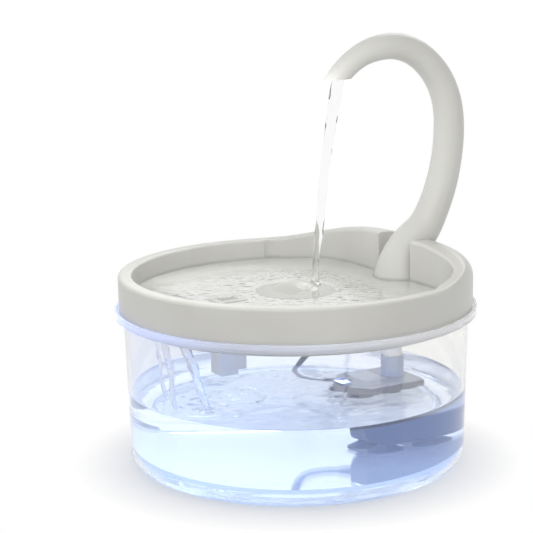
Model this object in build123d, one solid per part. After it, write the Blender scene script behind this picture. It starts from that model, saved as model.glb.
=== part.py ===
from build123d import *
import math
import os

# Swan-neck pet water fountain: a clear tank, a drinking tray that drops into the tank's collar, a curved neck
# that plugs into the tray, and a small low-voltage pump on suction cups on the tank floor.
# Millimetres, +Z up. Origin: centre of the tank's underside. The neck stands at the rear, on the +Y side.

# ---- tank -------------------------------------------------------------------------------------------------
TRAY_R = 98.0               # outer radius of the tray's skirt, which the whole fountain follows
WALL_INSET = 2.5            # how far the tank's wall stands inside the skirt, under the collar
TANK_TAPER = 2.3            # how much narrower the foot is
TANK_WALL = 2.0
TANK_FLOOR = 2.6            # thickness of the raised floor
TANK_CORNER_R = 9.0         # outer radius of the bottom corner
FOOT_RECESS = 5.0           # hollow of the underside inside the foot ring
FOOT_RING_W = 3.0
LEDGE_Z = 86.2              # height of the ledge that carries the tray
LEDGE_T = 1.9
COLLAR_H = 3.2              # how far the collar's lip stands above the ledge
COLLAR_T = 1.7
COLLAR_GAP = 0.5            # radial gap between tray skirt and lip

# ---- tray -------------------------------------------------------------------------------------------------
TRAY_SEAT_GAP = 0.2         # between skirt and ledge
TRAY_H = 21.6               # height of the skirt, from its lower edge to the flat rim
SKIRT_T = 2.0
RIM_W = 7.6                 # width of the rim from the skirt's outside to the bowl
RIM_OUT_R = 2.0             # rounding of the rim's outer edge
RIM_IN_R = 1.5              # rounding of the rim's inner edge
BOWL_WALL = 2.2
FLOOR_RISE = 4.8            # bowl floor above the tank's ledge
FLOOR_T = 2.0
RING_GAP = 1.3              # between the tank's wall and the ring that centres the tray in it
RING_T = 1.4
RING_H = 7.0                # depth of that ring below the floor's underside
DRAIN_IN = 6.9              # middle of the drain slots, inwards from the bowl's wall
DRAIN_W = 3.2
DRAIN_LEN = 13.0
DRAIN_AZ = (-118, -104, -90, -76, -62)

# ---- raised shoulder at the rear of the tray --------------------------------------------------------------
SHOULDER_RISE = 11.2        # its crest above the rim
SHOULDER_DEPTH = 24.9       # its flat inner face, inwards from the bowl's wall
SHOULDER_HALF = 72.0        # half of the angle that it spans, degrees
SHOULDER_FLAT = 20.0        # half of the angle at full height, degrees
SHOULDER_BLEND = 5.0        # softness of the blend from the bowl wall to its inner face
SHOULDER_FADE = 12.0        # angle over which that blend fades in, degrees

# ---- neck -------------------------------------------------------------------------------------------------
BASE_SET = 3.8              # centre of the neck's foot behind the shoulder's inner face
BASE_R = 15.6               # radius of the foot
NICHE_GAP = 0.6             # around the foot
NECK_WALL = 2.0
SOLE_T = 2.0                # floor that closes the neck's foot
TIP_RISE = 120.4            # height of the cut at the tip above the bowl floor
HOSE_R = 3.2                # hose inside the neck
HOSE_WALL = 0.8
NOZZLE_WALL = 0.8
NOZZLE_LEN = 4.6
NOZZLE_SET = 0.6            # how far the nozzle sits inside the tip
SPIGOT_SET = 5.3            # axis of spigot, riser and pump outlet in front of the foot's centre
SPIGOT_R = 6.2
SPIGOT_WALL = 1.3
SPIGOT_DEPTH = 13.0         # how far the spigot reaches below the bowl floor
SOCKET_GAP = 0.25           # between spigot and socket
SOCKET_WALL = 2.0
SOCKET_DEPTH = 27.0         # socket length below the bowl floor
SEAL_T = 1.5
SEAL_SET = 4.5              # the seal's groove above the spigot's lower end

# neck centre line and radius: rise above the bowl floor, distance behind the foot's centre, radius
NECK = [
    (0.0, 0.0, BASE_R), (6.5, 0.2, 14.9), (13.0, 1.3, 13.2), (19.0, 4.0, 11.9), (24.6, 8.9, 11.0),
    (30.6, 15.5, 10.1), (41.0, 22.3, 9.25), (55.4, 28.3, 9.0), (71.1, 32.2, 8.8), (86.0, 33.7, 8.7),
    (99.0, 33.0, 8.5), (112.0, 28.9, 8.3), (123.0, 21.5, 8.0), (131.2, 11.6, 7.75), (135.8, 0.2, 7.5),
    (136.3, -10.8, 7.15), (133.6, -22.8, 6.65), (128.4, -32.3, 6.3), (121.8, -39.9, 6.1), (114.5, -45.7, 6.1),
]
CHANNEL_HALF = 11.0         # half width of the channel that the leaning neck needs in the shoulder
# corners of that channel's rear wall: distance behind the foot's centre, rise above the bowl floor
CHANNEL = [(0.0, 8.0), (11.2, 8.0), (16.9, 15.0), (22.9, 21.6), (27.7, 27.5), (38.7, 47.0)]
# corners of the hose's path inside the neck: distance behind the spigot's axis, rise above the bowl floor
HOSE_PATH = [
    (0.0, -1.0), (0.0, 10.0), (8.6, 20.0), (20.4, 30.0), (31.4, 48.5), (38.6, 70.5), (39.4, 94.0),
    (33.0, 115.5), (19.4, 130.5), (1.5, 137.0), (-15.0, 134.6), (-25.6, 129.2),
]

# ---- filter pocket and cassette ---------------------------------------------------------------------------
POCKET_Y = -42.6            # centre of the pocket
POCKET_X = 12.0             # outer size across
POCKET_LEN = 15.6           # outer size along Y
POCKET_DEPTH = 35.8         # below the bowl floor
POCKET_STEP = 2.6           # the pocket's rear third ends this much higher
POCKET_WALL = 1.3
POCKET_HOLE_R = 1.1
POCKET_HOLE_PITCH = 3.2
CASSETTE_GAP = 0.3
CASSETTE_WALL = 0.9
FLANGE_W = 3.0              # cassette's head over the pocket's mouth
FLANGE_T = 1.6
FLANGE_LIFT = 0.3           # under the head, and under the dome's edge

# ---- splash dome ------------------------------------------------------------------------------------------
DOME_R = 22.0
DOME_RISE = 8.6             # its crest above the bowl floor
DOME_WALL = 1.6
POST_R = 3.0
POST_H = 3.0
POST_GAP = 0.15

# ---- pump -------------------------------------------------------------------------------------------------
PUMP_X = 36.0               # overall width
MOTOR_LEN = 30.0            # nose to volute
VOLUTE_LEN = 12.0
STRAINER_LEN = 5.0
PUMP_H = 17.2
CUP_H = 4.4                 # under the pump
EDGE_R = 2.4                # rounding of the long edges
NOSE_CUT = 11.0             # chamfer of the nose's corners, in plan
NOSE_SLOPE = 6.0            # slope of the nose's top edge
NOSE_BELLY_R = 6.0          # rounding of the nose's bottom edge
PUMP_WALL = 1.8
SHAFT_RISE = 8.6            # rotor axis above the pump's underside
SHAFT_R = 1.0
SHAFT_FIT = 0.05            # radial clearance of the rotor on its shaft
MAGNET_R = 5.4
WELL_R = 6.1                # bore that the magnet turns in
WELL_WALL = 1.0
WELL_LEN = 16.0             # depth of the bore, from the volute
CHAMBER_R = 7.2             # volute chamber
CHAMBER_WALL = 2.0          # its rear wall, with the inlet
INLET_R = 4.6
VANE_R = 6.6
VANE_T = 0.9
HUB_R = 2.6
YOKE_X = 14.0               # half width of the motor's iron
YOKE_LEN = 17.6
YOKE_H = 8.0
COIL_X = 5.5                # half width of the winding on the yoke's bridge
COIL_H = 12.0
COIL_T = 3.0                # thickness of the bridge in its middle
COIL_OVER = 0.3             # winding over the bridge, front and rear
BUSH_R = 2.4
REAR_BUSH_R = 1.9
BUSH_LEN = 2.0
CUP_R = 7.6                 # suction cups
CUP_X = 8.6
CUP_SET = (8.0, 27.5)       # their rows, from the nose
CUP_STEM_R = 2.2
CUP_HOLLOW = 1.4            # depth of a cup's hollow
CUP_LIP = 0.8
CUP_PLUG = 1.4              # how far a cup's stem plugs into the pump
OUTLET_R = 4.6              # outlet spigot
OUTLET_WALL = 1.1
OUTLET_H = 12.8             # above the pump's top
LED_SIDE = 8.5              # lamp window across the nose's top edge, from the pump's left side
LED_W = 12.0
LED_Y = (1.4, 7.2)          # its front and rear, from the nose
LED_DEPTH = 5.0
LED_RIM = 1.3               # window's wall around the lamp board
BOARD_W = 2.6
BOARD_ROOM = 2.2            # height of the space for the board
PLATE_SIDE = 3.0            # label plate in the pump's top, from its left side
PLATE_W = 21.0
PLATE_Y = (13.6, 28.0)      # its front and rear, from the nose
PLATE_T = 1.0
PLATE_PROUD = 0.2
SLOT_W = 1.6                # inlet slots of the strainer
SLOT_PITCH = 3.2
STRAINER_IN = 0.6           # the strainer is this much smaller than the pump all round
STRAINER_WALL = 1.6
FIT = 0.1                   # around pieces that are set into the pump

# ---- riser ------------------------------------------------------------------------------------------------
RISER_R = 6.0
RISER_WALL = 1.3
RISER_CLEAR = 4.0           # between the pump's outlet and the riser
CUFF_GRIP = 4.5             # how far the cuff grips the riser
CUFF_R = 7.0                # at the bell end
CUFF_WALL = 1.3
CUFF_LIFT = 0.3             # between the cuff and the pump's top
PUSH_FIT = 0.02             # between the riser and what grips it

# ---- cable ------------------------------------------------------------------------------------------------
CABLE_R = 1.6
GLAND_LEN = 7.0             # how far the strain relief stands out of the pump
GLAND_PLUG = 2.8            # and how far it reaches in
GLAND_FLANGE = 1.2
GLAND_R0 = 2.8
GLAND_R1 = 2.1
GLAND_Z = 21.2
NOTCH_CLEAR = 1.1           # beside the cable in the notch of collar and tray skirt
NOTCH_AZ = 135.0            # direction of the notch from +X, degrees
NOTCH_HEAD = 0.6            # above the cable
NOTCH_REACH = 14.0          # its groove under the tray's floor, inwards from the ring
SLEEVE_R = 2.1
SLEEVE_LEN = 8.0
COIL_CENTRE = (-112.0, 84.0)
COIL_MID_R = 17.5
COIL_ACROSS = 3             # wound turns side by side
COIL_LAYERS = 4             # and on top of each other
TIE_W = 7.0
TIE_T = 0.8
PLUG_BODY = (24.0, 10.5, 6.4)
PLUG_SHELL = (14.0, 12.0, 4.5)
PLUG_TAPER = 6.4            # tapered cable end of the plug
PLUG_SET = 5.0              # the plug's body from the cable's last point

# ---- places that follow from the sizes --------------------------------------------------------------------
TANK_TOP_R = TRAY_R - WALL_INSET
TANK_FOOT_R = TANK_TOP_R - TANK_TAPER
TANK_INSIDE_TOP_R = TANK_TOP_R - TANK_WALL
TANK_FLOOR_Z = FOOT_RECESS + TANK_FLOOR
FOOT_RING_R = TANK_FOOT_R - TANK_CORNER_R - FOOT_RING_W
FLOOR_EDGE_R = FOOT_RING_R + 2 ** 0.5 * TANK_WALL - TANK_FLOOR_Z
COLLAR_IN_R = TRAY_R + COLLAR_GAP
COLLAR_OUT_R = COLLAR_IN_R + COLLAR_T
COLLAR_TOP_Z = LEDGE_Z + COLLAR_H
SKIRT_Z0 = LEDGE_Z + TRAY_SEAT_GAP
TRAY_TOP_Z = SKIRT_Z0 + TRAY_H
FLOOR_TOP_Z = LEDGE_Z + FLOOR_RISE
FLOOR_Z0 = FLOOR_TOP_Z - FLOOR_T
RING_R = TANK_INSIDE_TOP_R - RING_GAP
BOWL_R = TRAY_R - RIM_W
SHOULDER_FACE_Y = BOWL_R - SHOULDER_DEPTH
BASE_Y = SHOULDER_FACE_Y + BASE_SET
SPIGOT_Y = BASE_Y - SPIGOT_SET
TIP_Z = FLOOR_TOP_Z + TIP_RISE
POCKET_BOTTOM_Z = FLOOR_TOP_Z - POCKET_DEPTH
DOME_TOP_Z = FLOOR_TOP_Z + DOME_RISE
HALF = PUMP_X / 2
PUMP_Z0 = TANK_FLOOR_Z + CUP_H
PUMP_Z1 = PUMP_Z0 + PUMP_H
MOTOR_END_Y = SPIGOT_Y - VOLUTE_LEN / 2
PUMP_Y0 = MOTOR_END_Y - MOTOR_LEN
VOLUTE_END_Y = SPIGOT_Y + VOLUTE_LEN / 2
STRAINER_END_Y = VOLUTE_END_Y + STRAINER_LEN
SHAFT_Z = PUMP_Z0 + SHAFT_RISE
WELL_Y = MOTOR_END_Y - WELL_LEN
YOKE_Y1 = MOTOR_END_Y - PUMP_WALL - 1.2
YOKE_Y0 = YOKE_Y1 - YOKE_LEN
CUP_PLACES = [(x, PUMP_Y0 + y) for x in (-CUP_X, CUP_X) for y in CUP_SET]
OUTLET_TOP_Z = PUMP_Z1 + OUTLET_H
RISER_BOTTOM_Z = OUTLET_TOP_Z + RISER_CLEAR
CUFF_TOP_Z = RISER_BOTTOM_Z + CUFF_GRIP
NOTCH_W = 2 * (CABLE_R + NOTCH_CLEAR)
NOTCH_RISE = 2 * CABLE_R + NOTCH_HEAD

os.makedirs("parts", exist_ok=True)


def save(shape, node):
    export_step(shape, f"parts/{node}.step")


def box(x0, x1, y0, y1, z0, z1):
    """Box between two corners."""
    return Pos((x0 + x1) / 2, (y0 + y1) / 2, (z0 + z1) / 2) * Box(x1 - x0, y1 - y0, z1 - z0)


def rod(x, y, r, z0, z1):
    """Upright cylinder."""
    return Pos(x, y, (z0 + z1) / 2) * Cylinder(r, z1 - z0)


def rod_y(x, z, r, y0, y1):
    """Cylinder lying along Y."""
    return Pos(x, (y0 + y1) / 2, z) * Rot(90, 0, 0) * Cylinder(r, y1 - y0)


def polygon(points, plane):
    """Flat face through points, in the plane's own coordinates."""
    return plane * make_face(Polyline(*points, close=True))


def turned(points):
    """Solid turned about Z from a closed outline of (radius, height) points."""
    return revolve(polygon(points, Plane.XZ), Axis.Z, 360)


def polar(radius, azimuth, z):
    a = math.radians(azimuth)
    return (radius * math.cos(a), radius * math.sin(a), z)


def cord_radii(points):
    """Arc radii for a cord's path: 0.45 of the shorter run over the tangent of half the turn."""
    radii = []
    for a, b, c in zip(points, points[1:], points[2:]):
        u, v = Vector(*b) - Vector(*a), Vector(*c) - Vector(*b)
        radii.append(0.45 * min(u.length, v.length) / math.tan(math.radians(u.get_angle(v)) / 2))
    return radii


def cord_tube(points, radius, name):
    """Round tube along straight runs joined by tangent arcs."""
    radii = cord_radii(points)
    path = FilletPolyline(*points, radius=radii)
    start = Plane(path @ 0, z_dir=path % 0)
    tube = sweep(start * Circle(radius), path=path)
    print(name, "length", round(path.length, 1), "radii", [round(r, 1) for r in radii])
    print("  volume over section x length", round(tube.volume / (math.pi * radius**2 * path.length), 4))
    return tube


# ---- tank -------------------------------------------------------------------------------------------------
def make_notch(r0, r1, z0, z1, width):
    """Radial cable way between two radii."""
    mid = (r0 + r1) / 2
    x, y, _ = polar(mid, NOTCH_AZ, 0)
    return Pos(x, y, (z0 + z1) / 2) * Rot(0, 0, NOTCH_AZ) * Box(r1 - r0, width, z1 - z0)


def make_tank():
    gutter_r = FLOOR_EDGE_R + TANK_FLOOR_Z - TANK_WALL
    outline = [
        (0, FOOT_RECESS), (FOOT_RING_R - FOOT_RECESS, FOOT_RECESS), (FOOT_RING_R, 0), (TANK_FOOT_R, 0),
        (TANK_TOP_R, LEDGE_Z - LEDGE_T), (COLLAR_OUT_R, LEDGE_Z - LEDGE_T), (COLLAR_OUT_R, COLLAR_TOP_Z),
        (COLLAR_IN_R, COLLAR_TOP_Z), (COLLAR_IN_R, LEDGE_Z), (TANK_INSIDE_TOP_R, LEDGE_Z),
        (TANK_FOOT_R - TANK_WALL, TANK_WALL), (gutter_r, TANK_WALL),
        (FLOOR_EDGE_R, TANK_FLOOR_Z), (0, TANK_FLOOR_Z),
    ]
    tank = turned(outline)
    rings = tank.edges().filter_by(GeomType.CIRCLE)
    bottom = [e for e in rings if abs(e.radius - TANK_FOOT_R) < 0.01]
    inner = [e for e in rings if abs(e.radius - TANK_FOOT_R + TANK_WALL) < 0.01]
    lip = [e for e in rings if abs(e.center().Z - COLLAR_TOP_Z) < 0.01]
    under = [e for e in rings if abs(e.radius - COLLAR_OUT_R) < 0.01 and e.center().Z < LEDGE_Z]
    web = [e for e in rings if abs(e.radius - TANK_TOP_R) < 0.01]
    tank = fillet(bottom, TANK_CORNER_R)
    tank = fillet(pick(tank, inner), TANK_CORNER_R - TANK_WALL)
    tank = fillet(pick(tank, lip), 0.45 * COLLAR_T)
    tank = fillet(pick(tank, under), 1.2)
    tank = fillet(pick(tank, web), 1.2)
    return tank - make_notch(COLLAR_IN_R - 2, COLLAR_OUT_R + 2, LEDGE_Z, COLLAR_TOP_Z + 1, NOTCH_W)


def pick(shape, wanted):
    """The shape's round edges that are the same rings as the wanted ones."""
    keys = [(round(e.radius, 2), round(e.center().Z, 2)) for e in wanted]
    rings = shape.edges().filter_by(GeomType.CIRCLE)
    return [e for e in rings if (round(e.radius, 2), round(e.center().Z, 2)) in keys]


# ---- tray -------------------------------------------------------------------------------------------------
def rise_share(beta):
    """Share of the shoulder's full rise at an angle from the rear."""
    over = (abs(beta) - SHOULDER_FLAT) / (SHOULDER_HALF - SHOULDER_FLAT)
    over = min(max(over, 0.0), 1.0)
    return math.cos(math.pi / 2 * over) ** 2


def face_radius(beta):
    """Radius of the bowl wall at an angle from the rear: a flat rear face blended into the round bowl."""
    c = math.cos(math.radians(beta))
    flat = SHOULDER_FACE_Y / max(c, 0.2)
    k = SHOULDER_BLEND
    blended = -k * math.log(math.exp(-flat / k) + math.exp(-BOWL_R / k))
    share = min(1.0, (SHOULDER_HALF - abs(beta)) / SHOULDER_FADE)
    return BOWL_R + (blended - BOWL_R) * share


def radial_plane(beta):
    a = math.radians(beta)
    return Plane(origin=(0, 0, 0), x_dir=(math.sin(a), math.cos(a), 0), z_dir=(math.cos(a), -math.sin(a), 0))


def shoulder_outer(beta):
    """Filled section of tray wall and shoulder in the radial plane at an angle from the rear."""
    t, inner = rise_share(beta), face_radius(beta)
    top = TRAY_TOP_Z + SHOULDER_RISE * t
    knee = (1 - t) * (TRAY_R - RIM_OUT_R) + t * (inner + RIM_IN_R + 2.5)
    low = TRAY_TOP_Z - RIM_OUT_R - 2.0 * t
    edges = [
        Line((inner, SKIRT_Z0), (inner, top - RIM_IN_R)),
        CenterArc((inner + RIM_IN_R, top - RIM_IN_R), RIM_IN_R, 180, -90),
        Line((inner + RIM_IN_R, top), (knee, top)),
        EllipticalCenterArc((knee, low), TRAY_R - knee, top - low, start_angle=0, arc_size=90),
        Line((TRAY_R, low), (TRAY_R, SKIRT_Z0)),
        Line((TRAY_R, SKIRT_Z0), (inner, SKIRT_Z0)),
    ]
    return radial_plane(beta) * make_face(Wire(edges))


def shoulder_hollow(beta):
    """Section of the hollow under rim and shoulder."""
    t, inner = rise_share(beta), face_radius(beta) + BOWL_WALL
    top = TRAY_TOP_Z - SKIRT_T + SHOULDER_RISE * t
    outer = TRAY_R - SKIRT_T
    knee = (1 - t) * (outer - 1.0) + t * (inner + 2.5)
    low = TRAY_TOP_Z - SKIRT_T - 1.0 - 3.0 * t
    bottom = SKIRT_Z0 - 8
    edges = [
        Line((inner, bottom), (inner, top)),
        Line((inner, top), (knee, top)),
        EllipticalCenterArc((knee, low), outer - knee, top - low, start_angle=0, arc_size=90),
        Line((outer, low), (outer, bottom)),
        Line((outer, bottom), (inner, bottom)),
    ]
    return radial_plane(beta) * make_face(Wire(edges))


def make_niche(gap, top):
    """Upright U-shaped space around the neck's foot, open to the bowl, and a channel for the leaning neck."""
    r = BASE_R + gap
    slot = rod(0, BASE_Y, r, FLOOR_TOP_Z, top) + box(-r, r, SHOULDER_FACE_Y - 30, BASE_Y, FLOOR_TOP_Z, top)
    half = CHANNEL_HALF + gap
    wall = [(BASE_Y + y, FLOOR_TOP_Z + z) for y, z in CHANNEL]
    lean = wall + [(wall[-1][0], top), (BASE_Y, top)]
    channel = extrude(polygon(lean, Plane.YZ.offset(-half)), 2 * half)
    return slot, channel


def make_tray():
    section = shoulder_outer(SHOULDER_HALF) - shoulder_hollow(SHOULDER_HALF)
    plain = revolve(section, Axis.Z, 2 * SHOULDER_HALF - 360)
    count = 18
    betas = [-SHOULDER_HALF + 2 * SHOULDER_HALF * i / count for i in range(count + 1)]
    filled = loft([shoulder_outer(b) for b in betas])
    hollow = loft([shoulder_hollow(b) for b in betas])
    above = TRAY_TOP_Z + 2 * SHOULDER_RISE
    slot, channel = make_niche(NICHE_GAP, above)
    niche_wall = make_niche(NICHE_GAP + BOWL_WALL, above)
    lining = (niche_wall[0] + Pos(0, 0, -BOWL_WALL) * niche_wall[1]) & filled
    half = BASE_R + NICHE_GAP + BOWL_WALL + 1.2
    lining += box(-half, half, SHOULDER_FACE_Y, BOWL_R + BOWL_WALL / 2, SKIRT_Z0, FLOOR_TOP_Z)
    shell = filled - hollow + lining
    tray = plain + shell
    tray += rod(0, 0, RING_R, FLOOR_Z0, FLOOR_TOP_Z)
    ring_z0 = FLOOR_Z0 - RING_H
    tray += rod(0, 0, RING_R, ring_z0, FLOOR_Z0) - rod(0, 0, RING_R - RING_T, ring_z0, FLOOR_Z0)
    tray -= slot
    tray -= channel
    return tray


def add_tray_fittings(tray):
    """Socket, filter pocket, dome post, drains and cable way."""
    bore = SPIGOT_R + SOCKET_GAP
    tray += rod(0, SPIGOT_Y, bore + SOCKET_WALL, FLOOR_TOP_Z - SOCKET_DEPTH, FLOOR_Z0 + 0.5)
    tray -= rod(0, SPIGOT_Y, bore, FLOOR_TOP_Z - SPIGOT_DEPTH - 1, FLOOR_TOP_Z + 1)
    tray -= rod(0, SPIGOT_Y, RISER_R + PUSH_FIT, FLOOR_TOP_Z - SOCKET_DEPTH - 1, FLOOR_TOP_Z)
    x, y0, y1 = POCKET_X / 2, POCKET_Y - POCKET_LEN / 2, POCKET_Y + POCKET_LEN / 2
    step_y = y1 - POCKET_LEN / 3
    pocket = box(-x, x, y0, step_y, POCKET_BOTTOM_Z, FLOOR_Z0 + 0.5)
    pocket += box(-x, x, step_y, y1, POCKET_BOTTOM_Z + POCKET_STEP, FLOOR_Z0 + 0.5)
    w = POCKET_WALL
    mouth = box(-x + w, x - w, y0 + w, y1 - w, POCKET_BOTTOM_Z + POCKET_STEP + w, FLOOR_TOP_Z + 1)
    mouth += box(-x + w, x - w, y0 + w, step_y - w, POCKET_BOTTOM_Z + w, FLOOR_TOP_Z)
    tray += pocket
    tray -= mouth
    for i in range(3):
        hole_y = y0 + w + 1.9 + POCKET_HOLE_PITCH * i
        tray -= rod(0, hole_y, POCKET_HOLE_R, POCKET_BOTTOM_Z - 1, POCKET_BOTTOM_Z + POCKET_STEP + w + 1)
    tray += rod(0, 0, POST_R, FLOOR_TOP_Z - 0.5, FLOOR_TOP_Z + POST_H)
    for azimuth in DRAIN_AZ:
        place = Pos(*polar(BOWL_R - DRAIN_IN, azimuth, FLOOR_TOP_Z - 1)) * Rot(0, 0, azimuth)
        tray -= place * Box(DRAIN_W, DRAIN_LEN, 2 * FLOOR_T)
    tray -= make_notch(RING_R - NOTCH_REACH, TRAY_R + 2, FLOOR_Z0 - RING_H - 1, LEDGE_Z + NOTCH_RISE, NOTCH_W)
    return tray


# ---- neck -------------------------------------------------------------------------------------------------
def neck_solid(shrink):
    """Neck skinned over its circles, each radius smaller by shrink."""
    rows = [(FLOOR_TOP_Z + rise, BASE_Y + back, r) for rise, back, r in NECK]
    spine = Spline(*[(0, y, z) for z, y, r in rows], tangents=[(0, 0, 1), (0, -0.62, -0.78)])
    faces = []
    for z, y, r in rows:
        u = spine.param_at_point((0, y, z))
        faces.append(Plane(origin=(0, y, z), x_dir=(1, 0, 0), z_dir=spine % u) * Circle(r - shrink))
    return loft(faces)


def make_neck():
    """Two half shells, parted in the plane of the neck, with a nozzle at the tip."""
    outer = neck_solid(0.0)
    cavity = neck_solid(NECK_WALL)
    tip_y, room = BASE_Y + NECK[-1][1], 4 * NECK[-1][2]
    shell = outer - cavity - box(-room, room, tip_y - room, tip_y + room, TIP_Z - room, TIP_Z)
    # the foot is closed by a floor that the spigot passes through
    shell += rod(0, BASE_Y, BASE_R - NECK_WALL / 2, FLOOR_TOP_Z, FLOOR_TOP_Z + SOLE_T)
    shell -= rod(0, SPIGOT_Y, SPIGOT_R - 1.0, FLOOR_TOP_Z - 1, FLOOR_TOP_Z + SOLE_T + 1)
    big = 4 * TRAY_R
    left = shell & box(-big, 0, -big, big, 0, big)
    right = shell & box(0, big, -big, big, 0, big)
    skin = NECK_WALL + 0.05
    nozzle = neck_solid(skin) - neck_solid(skin + NOZZLE_WALL)
    low = TIP_Z + NOZZLE_SET
    return left, right, nozzle & box(-room, room, tip_y - room, tip_y + room, low, low + NOZZLE_LEN)


def make_hose():
    points = [(0, SPIGOT_Y + back, FLOOR_TOP_Z + rise) for back, rise in HOSE_PATH]
    radii = cord_radii(points)
    path = FilletPolyline(*points, radius=radii)
    start = Plane(path @ 0, z_dir=path % 0)
    tube = sweep(start * Circle(HOSE_R), path=path)
    bore = sweep(start * Circle(HOSE_R - HOSE_WALL), path=path)
    print("hose length", round(path.length, 1), "radii", [round(r, 1) for r in radii])
    return tube - bore


def make_spigot():
    """Flanged tube under the neck's foot, with a groove for its seal."""
    low = FLOOR_TOP_Z - SPIGOT_DEPTH
    spigot = rod(0, SPIGOT_Y, SPIGOT_R, low, FLOOR_TOP_Z)
    spigot += rod(0, SPIGOT_Y, SPIGOT_R - 1.05, FLOOR_TOP_Z, FLOOR_TOP_Z + 4.5)
    spigot -= rod(0, SPIGOT_Y, HOSE_R + 0.05, FLOOR_TOP_Z - 1, FLOOR_TOP_Z + 5)
    spigot -= rod(0, SPIGOT_Y, SPIGOT_R - SPIGOT_WALL, low - 1, FLOOR_TOP_Z - 1)
    groove_z = low + SEAL_SET
    groove = rod(0, SPIGOT_Y, SPIGOT_R + 1, groove_z, groove_z + SEAL_T)
    groove -= rod(0, SPIGOT_Y, SPIGOT_R - 0.7, groove_z, groove_z + SEAL_T)
    return spigot - groove, groove_z


def make_seal(groove_z):
    seal = rod(0, SPIGOT_Y, SPIGOT_R + SOCKET_GAP - 0.05, groove_z + 0.05, groove_z + SEAL_T - 0.05)
    return seal - rod(0, SPIGOT_Y, SPIGOT_R - 0.7, groove_z, groove_z + SEAL_T)


# ---- riser ------------------------------------------------------------------------------------------------
def make_riser():
    top = FLOOR_TOP_Z - SPIGOT_DEPTH - 1
    return rod(0, SPIGOT_Y, RISER_R, RISER_BOTTOM_Z, top) - rod(
        0, SPIGOT_Y, RISER_R - RISER_WALL, RISER_BOTTOM_Z - 1, top + 1
    )


def make_cuff():
    """Soft bell-ended cuff that joins the riser to the pump's outlet."""
    grip, bore = RISER_R + PUSH_FIT, OUTLET_R + 0.25
    low = PUMP_Z1 + CUFF_LIFT
    mid = (low + CUFF_TOP_Z) / 2 - 2
    profile = [
        (grip, CUFF_TOP_Z), (RISER_R + 0.7 * CUFF_WALL, CUFF_TOP_Z), (CUFF_R, mid), (CUFF_R + 0.3, low + 1.5),
        (CUFF_R + 0.3, low), (bore, low), (bore, RISER_BOTTOM_Z), (grip, RISER_BOTTOM_Z),
    ]
    return Pos(0, SPIGOT_Y, 0) * turned(profile)


# ---- filter cassette --------------------------------------------------------------------------------------
def cassette_inside():
    w, g = POCKET_WALL, CASSETTE_GAP
    x = POCKET_X / 2 - w - g
    y0 = POCKET_Y - POCKET_LEN / 2 + w + g
    y1 = POCKET_Y + POCKET_LEN / 2 - w - g
    z0 = POCKET_BOTTOM_Z + POCKET_STEP + w + g
    return x, y0, y1, z0


def make_cassette():
    """Slim basket with a slotted head, and the carbon and foam that it holds."""
    x, y0, y1, z0 = cassette_inside()
    w = CASSETTE_WALL
    seat = FLOOR_TOP_Z + FLANGE_LIFT
    body = box(-x, x, y0, y1, z0, seat)
    body -= box(-x + w, x - w, y0 + w, y1 - w, z0 + w, FLOOR_TOP_Z + 1)
    for i in range(2):
        y = y0 + w + 2.0 + 4.4 * i
        body -= box(-1.6, 1.6, y, y + 2.2, z0 - 1, z0 + w + 1)
    head = box(-x - FLANGE_W, x + FLANGE_W, y0 - FLANGE_W, y1 + FLANGE_W, seat, seat + FLANGE_T)
    head = fillet(head.edges().filter_by(Axis.Z), 2.5)
    for i in range(-2, 3):
        y = POCKET_Y + 2.2 * i
        head -= box(-x + w, x - w, y - 0.6, y + 0.6, FLOOR_TOP_Z, FLOOR_TOP_Z + 3)
    inset = w + FIT
    split = z0 + 0.55 * (FLOOR_TOP_Z - z0)
    carbon = box(-x + inset, x - inset, y0 + inset, y1 - inset, z0 + w, split)
    foam = box(-x + inset, x - inset, y0 + inset, y1 - inset, split, seat - FIT)
    return body + head, carbon, foam


# ---- splash dome ------------------------------------------------------------------------------------------
def make_dome():
    """Shallow cap in the middle of the bowl, clipped over a short post."""
    base_z = FLOOR_TOP_Z + FLANGE_LIFT
    rise = DOME_TOP_Z - base_z
    ball_r = (DOME_R**2 + rise**2) / (2 * rise)
    keep = rod(0, 0, DOME_R, base_z, DOME_TOP_Z + 1)
    cap = Pos(0, 0, DOME_TOP_Z - ball_r) * Sphere(ball_r) & keep
    cap -= Pos(0, 0, DOME_TOP_Z - ball_r) * Sphere(ball_r - DOME_WALL)
    bore = POST_R + POST_GAP
    boss = rod(0, 0, bore + 1.2, base_z, DOME_TOP_Z - DOME_WALL * 0.6)
    return cap + boss - rod(0, 0, bore, base_z - 1, FLOOR_TOP_Z + POST_H + FLANGE_LIFT)


# ---- pump -------------------------------------------------------------------------------------------------
def pump_block():
    """Outer form of the motor part: chamfered nose, sloping nose edge, rounded long edges."""
    c = NOSE_CUT
    plan = [
        (-HALF, MOTOR_END_Y), (-HALF, PUMP_Y0 + c), (-HALF + c, PUMP_Y0), (HALF - c, PUMP_Y0),
        (HALF, PUMP_Y0 + c), (HALF, MOTOR_END_Y),
    ]
    block = extrude(polygon(plan, Plane.XY.offset(PUMP_Z0)), PUMP_Z1 - PUMP_Z0)
    block = fillet(block.edges().filter_by(Axis.Y), EDGE_R)
    wedge = [
        (PUMP_Y0 - 1, PUMP_Z1 - 0.8 * NOSE_SLOPE), (PUMP_Y0 + NOSE_SLOPE, PUMP_Z1 + 1),
        (PUMP_Y0 - 1, PUMP_Z1 + 1),
    ]
    block -= extrude(polygon(wedge, Plane.YZ.offset(-HALF - 1)), PUMP_X + 2)
    r = NOSE_BELLY_R
    belly = box(-HALF - 1, HALF + 1, PUMP_Y0 - 1, PUMP_Y0 + r, PUMP_Z0 - 1, PUMP_Z0 + r)
    return block - (belly - Pos(0, PUMP_Y0 + r, PUMP_Z0 + r) * Rot(0, 90, 0) * Cylinder(r, PUMP_X + 4))


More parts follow.
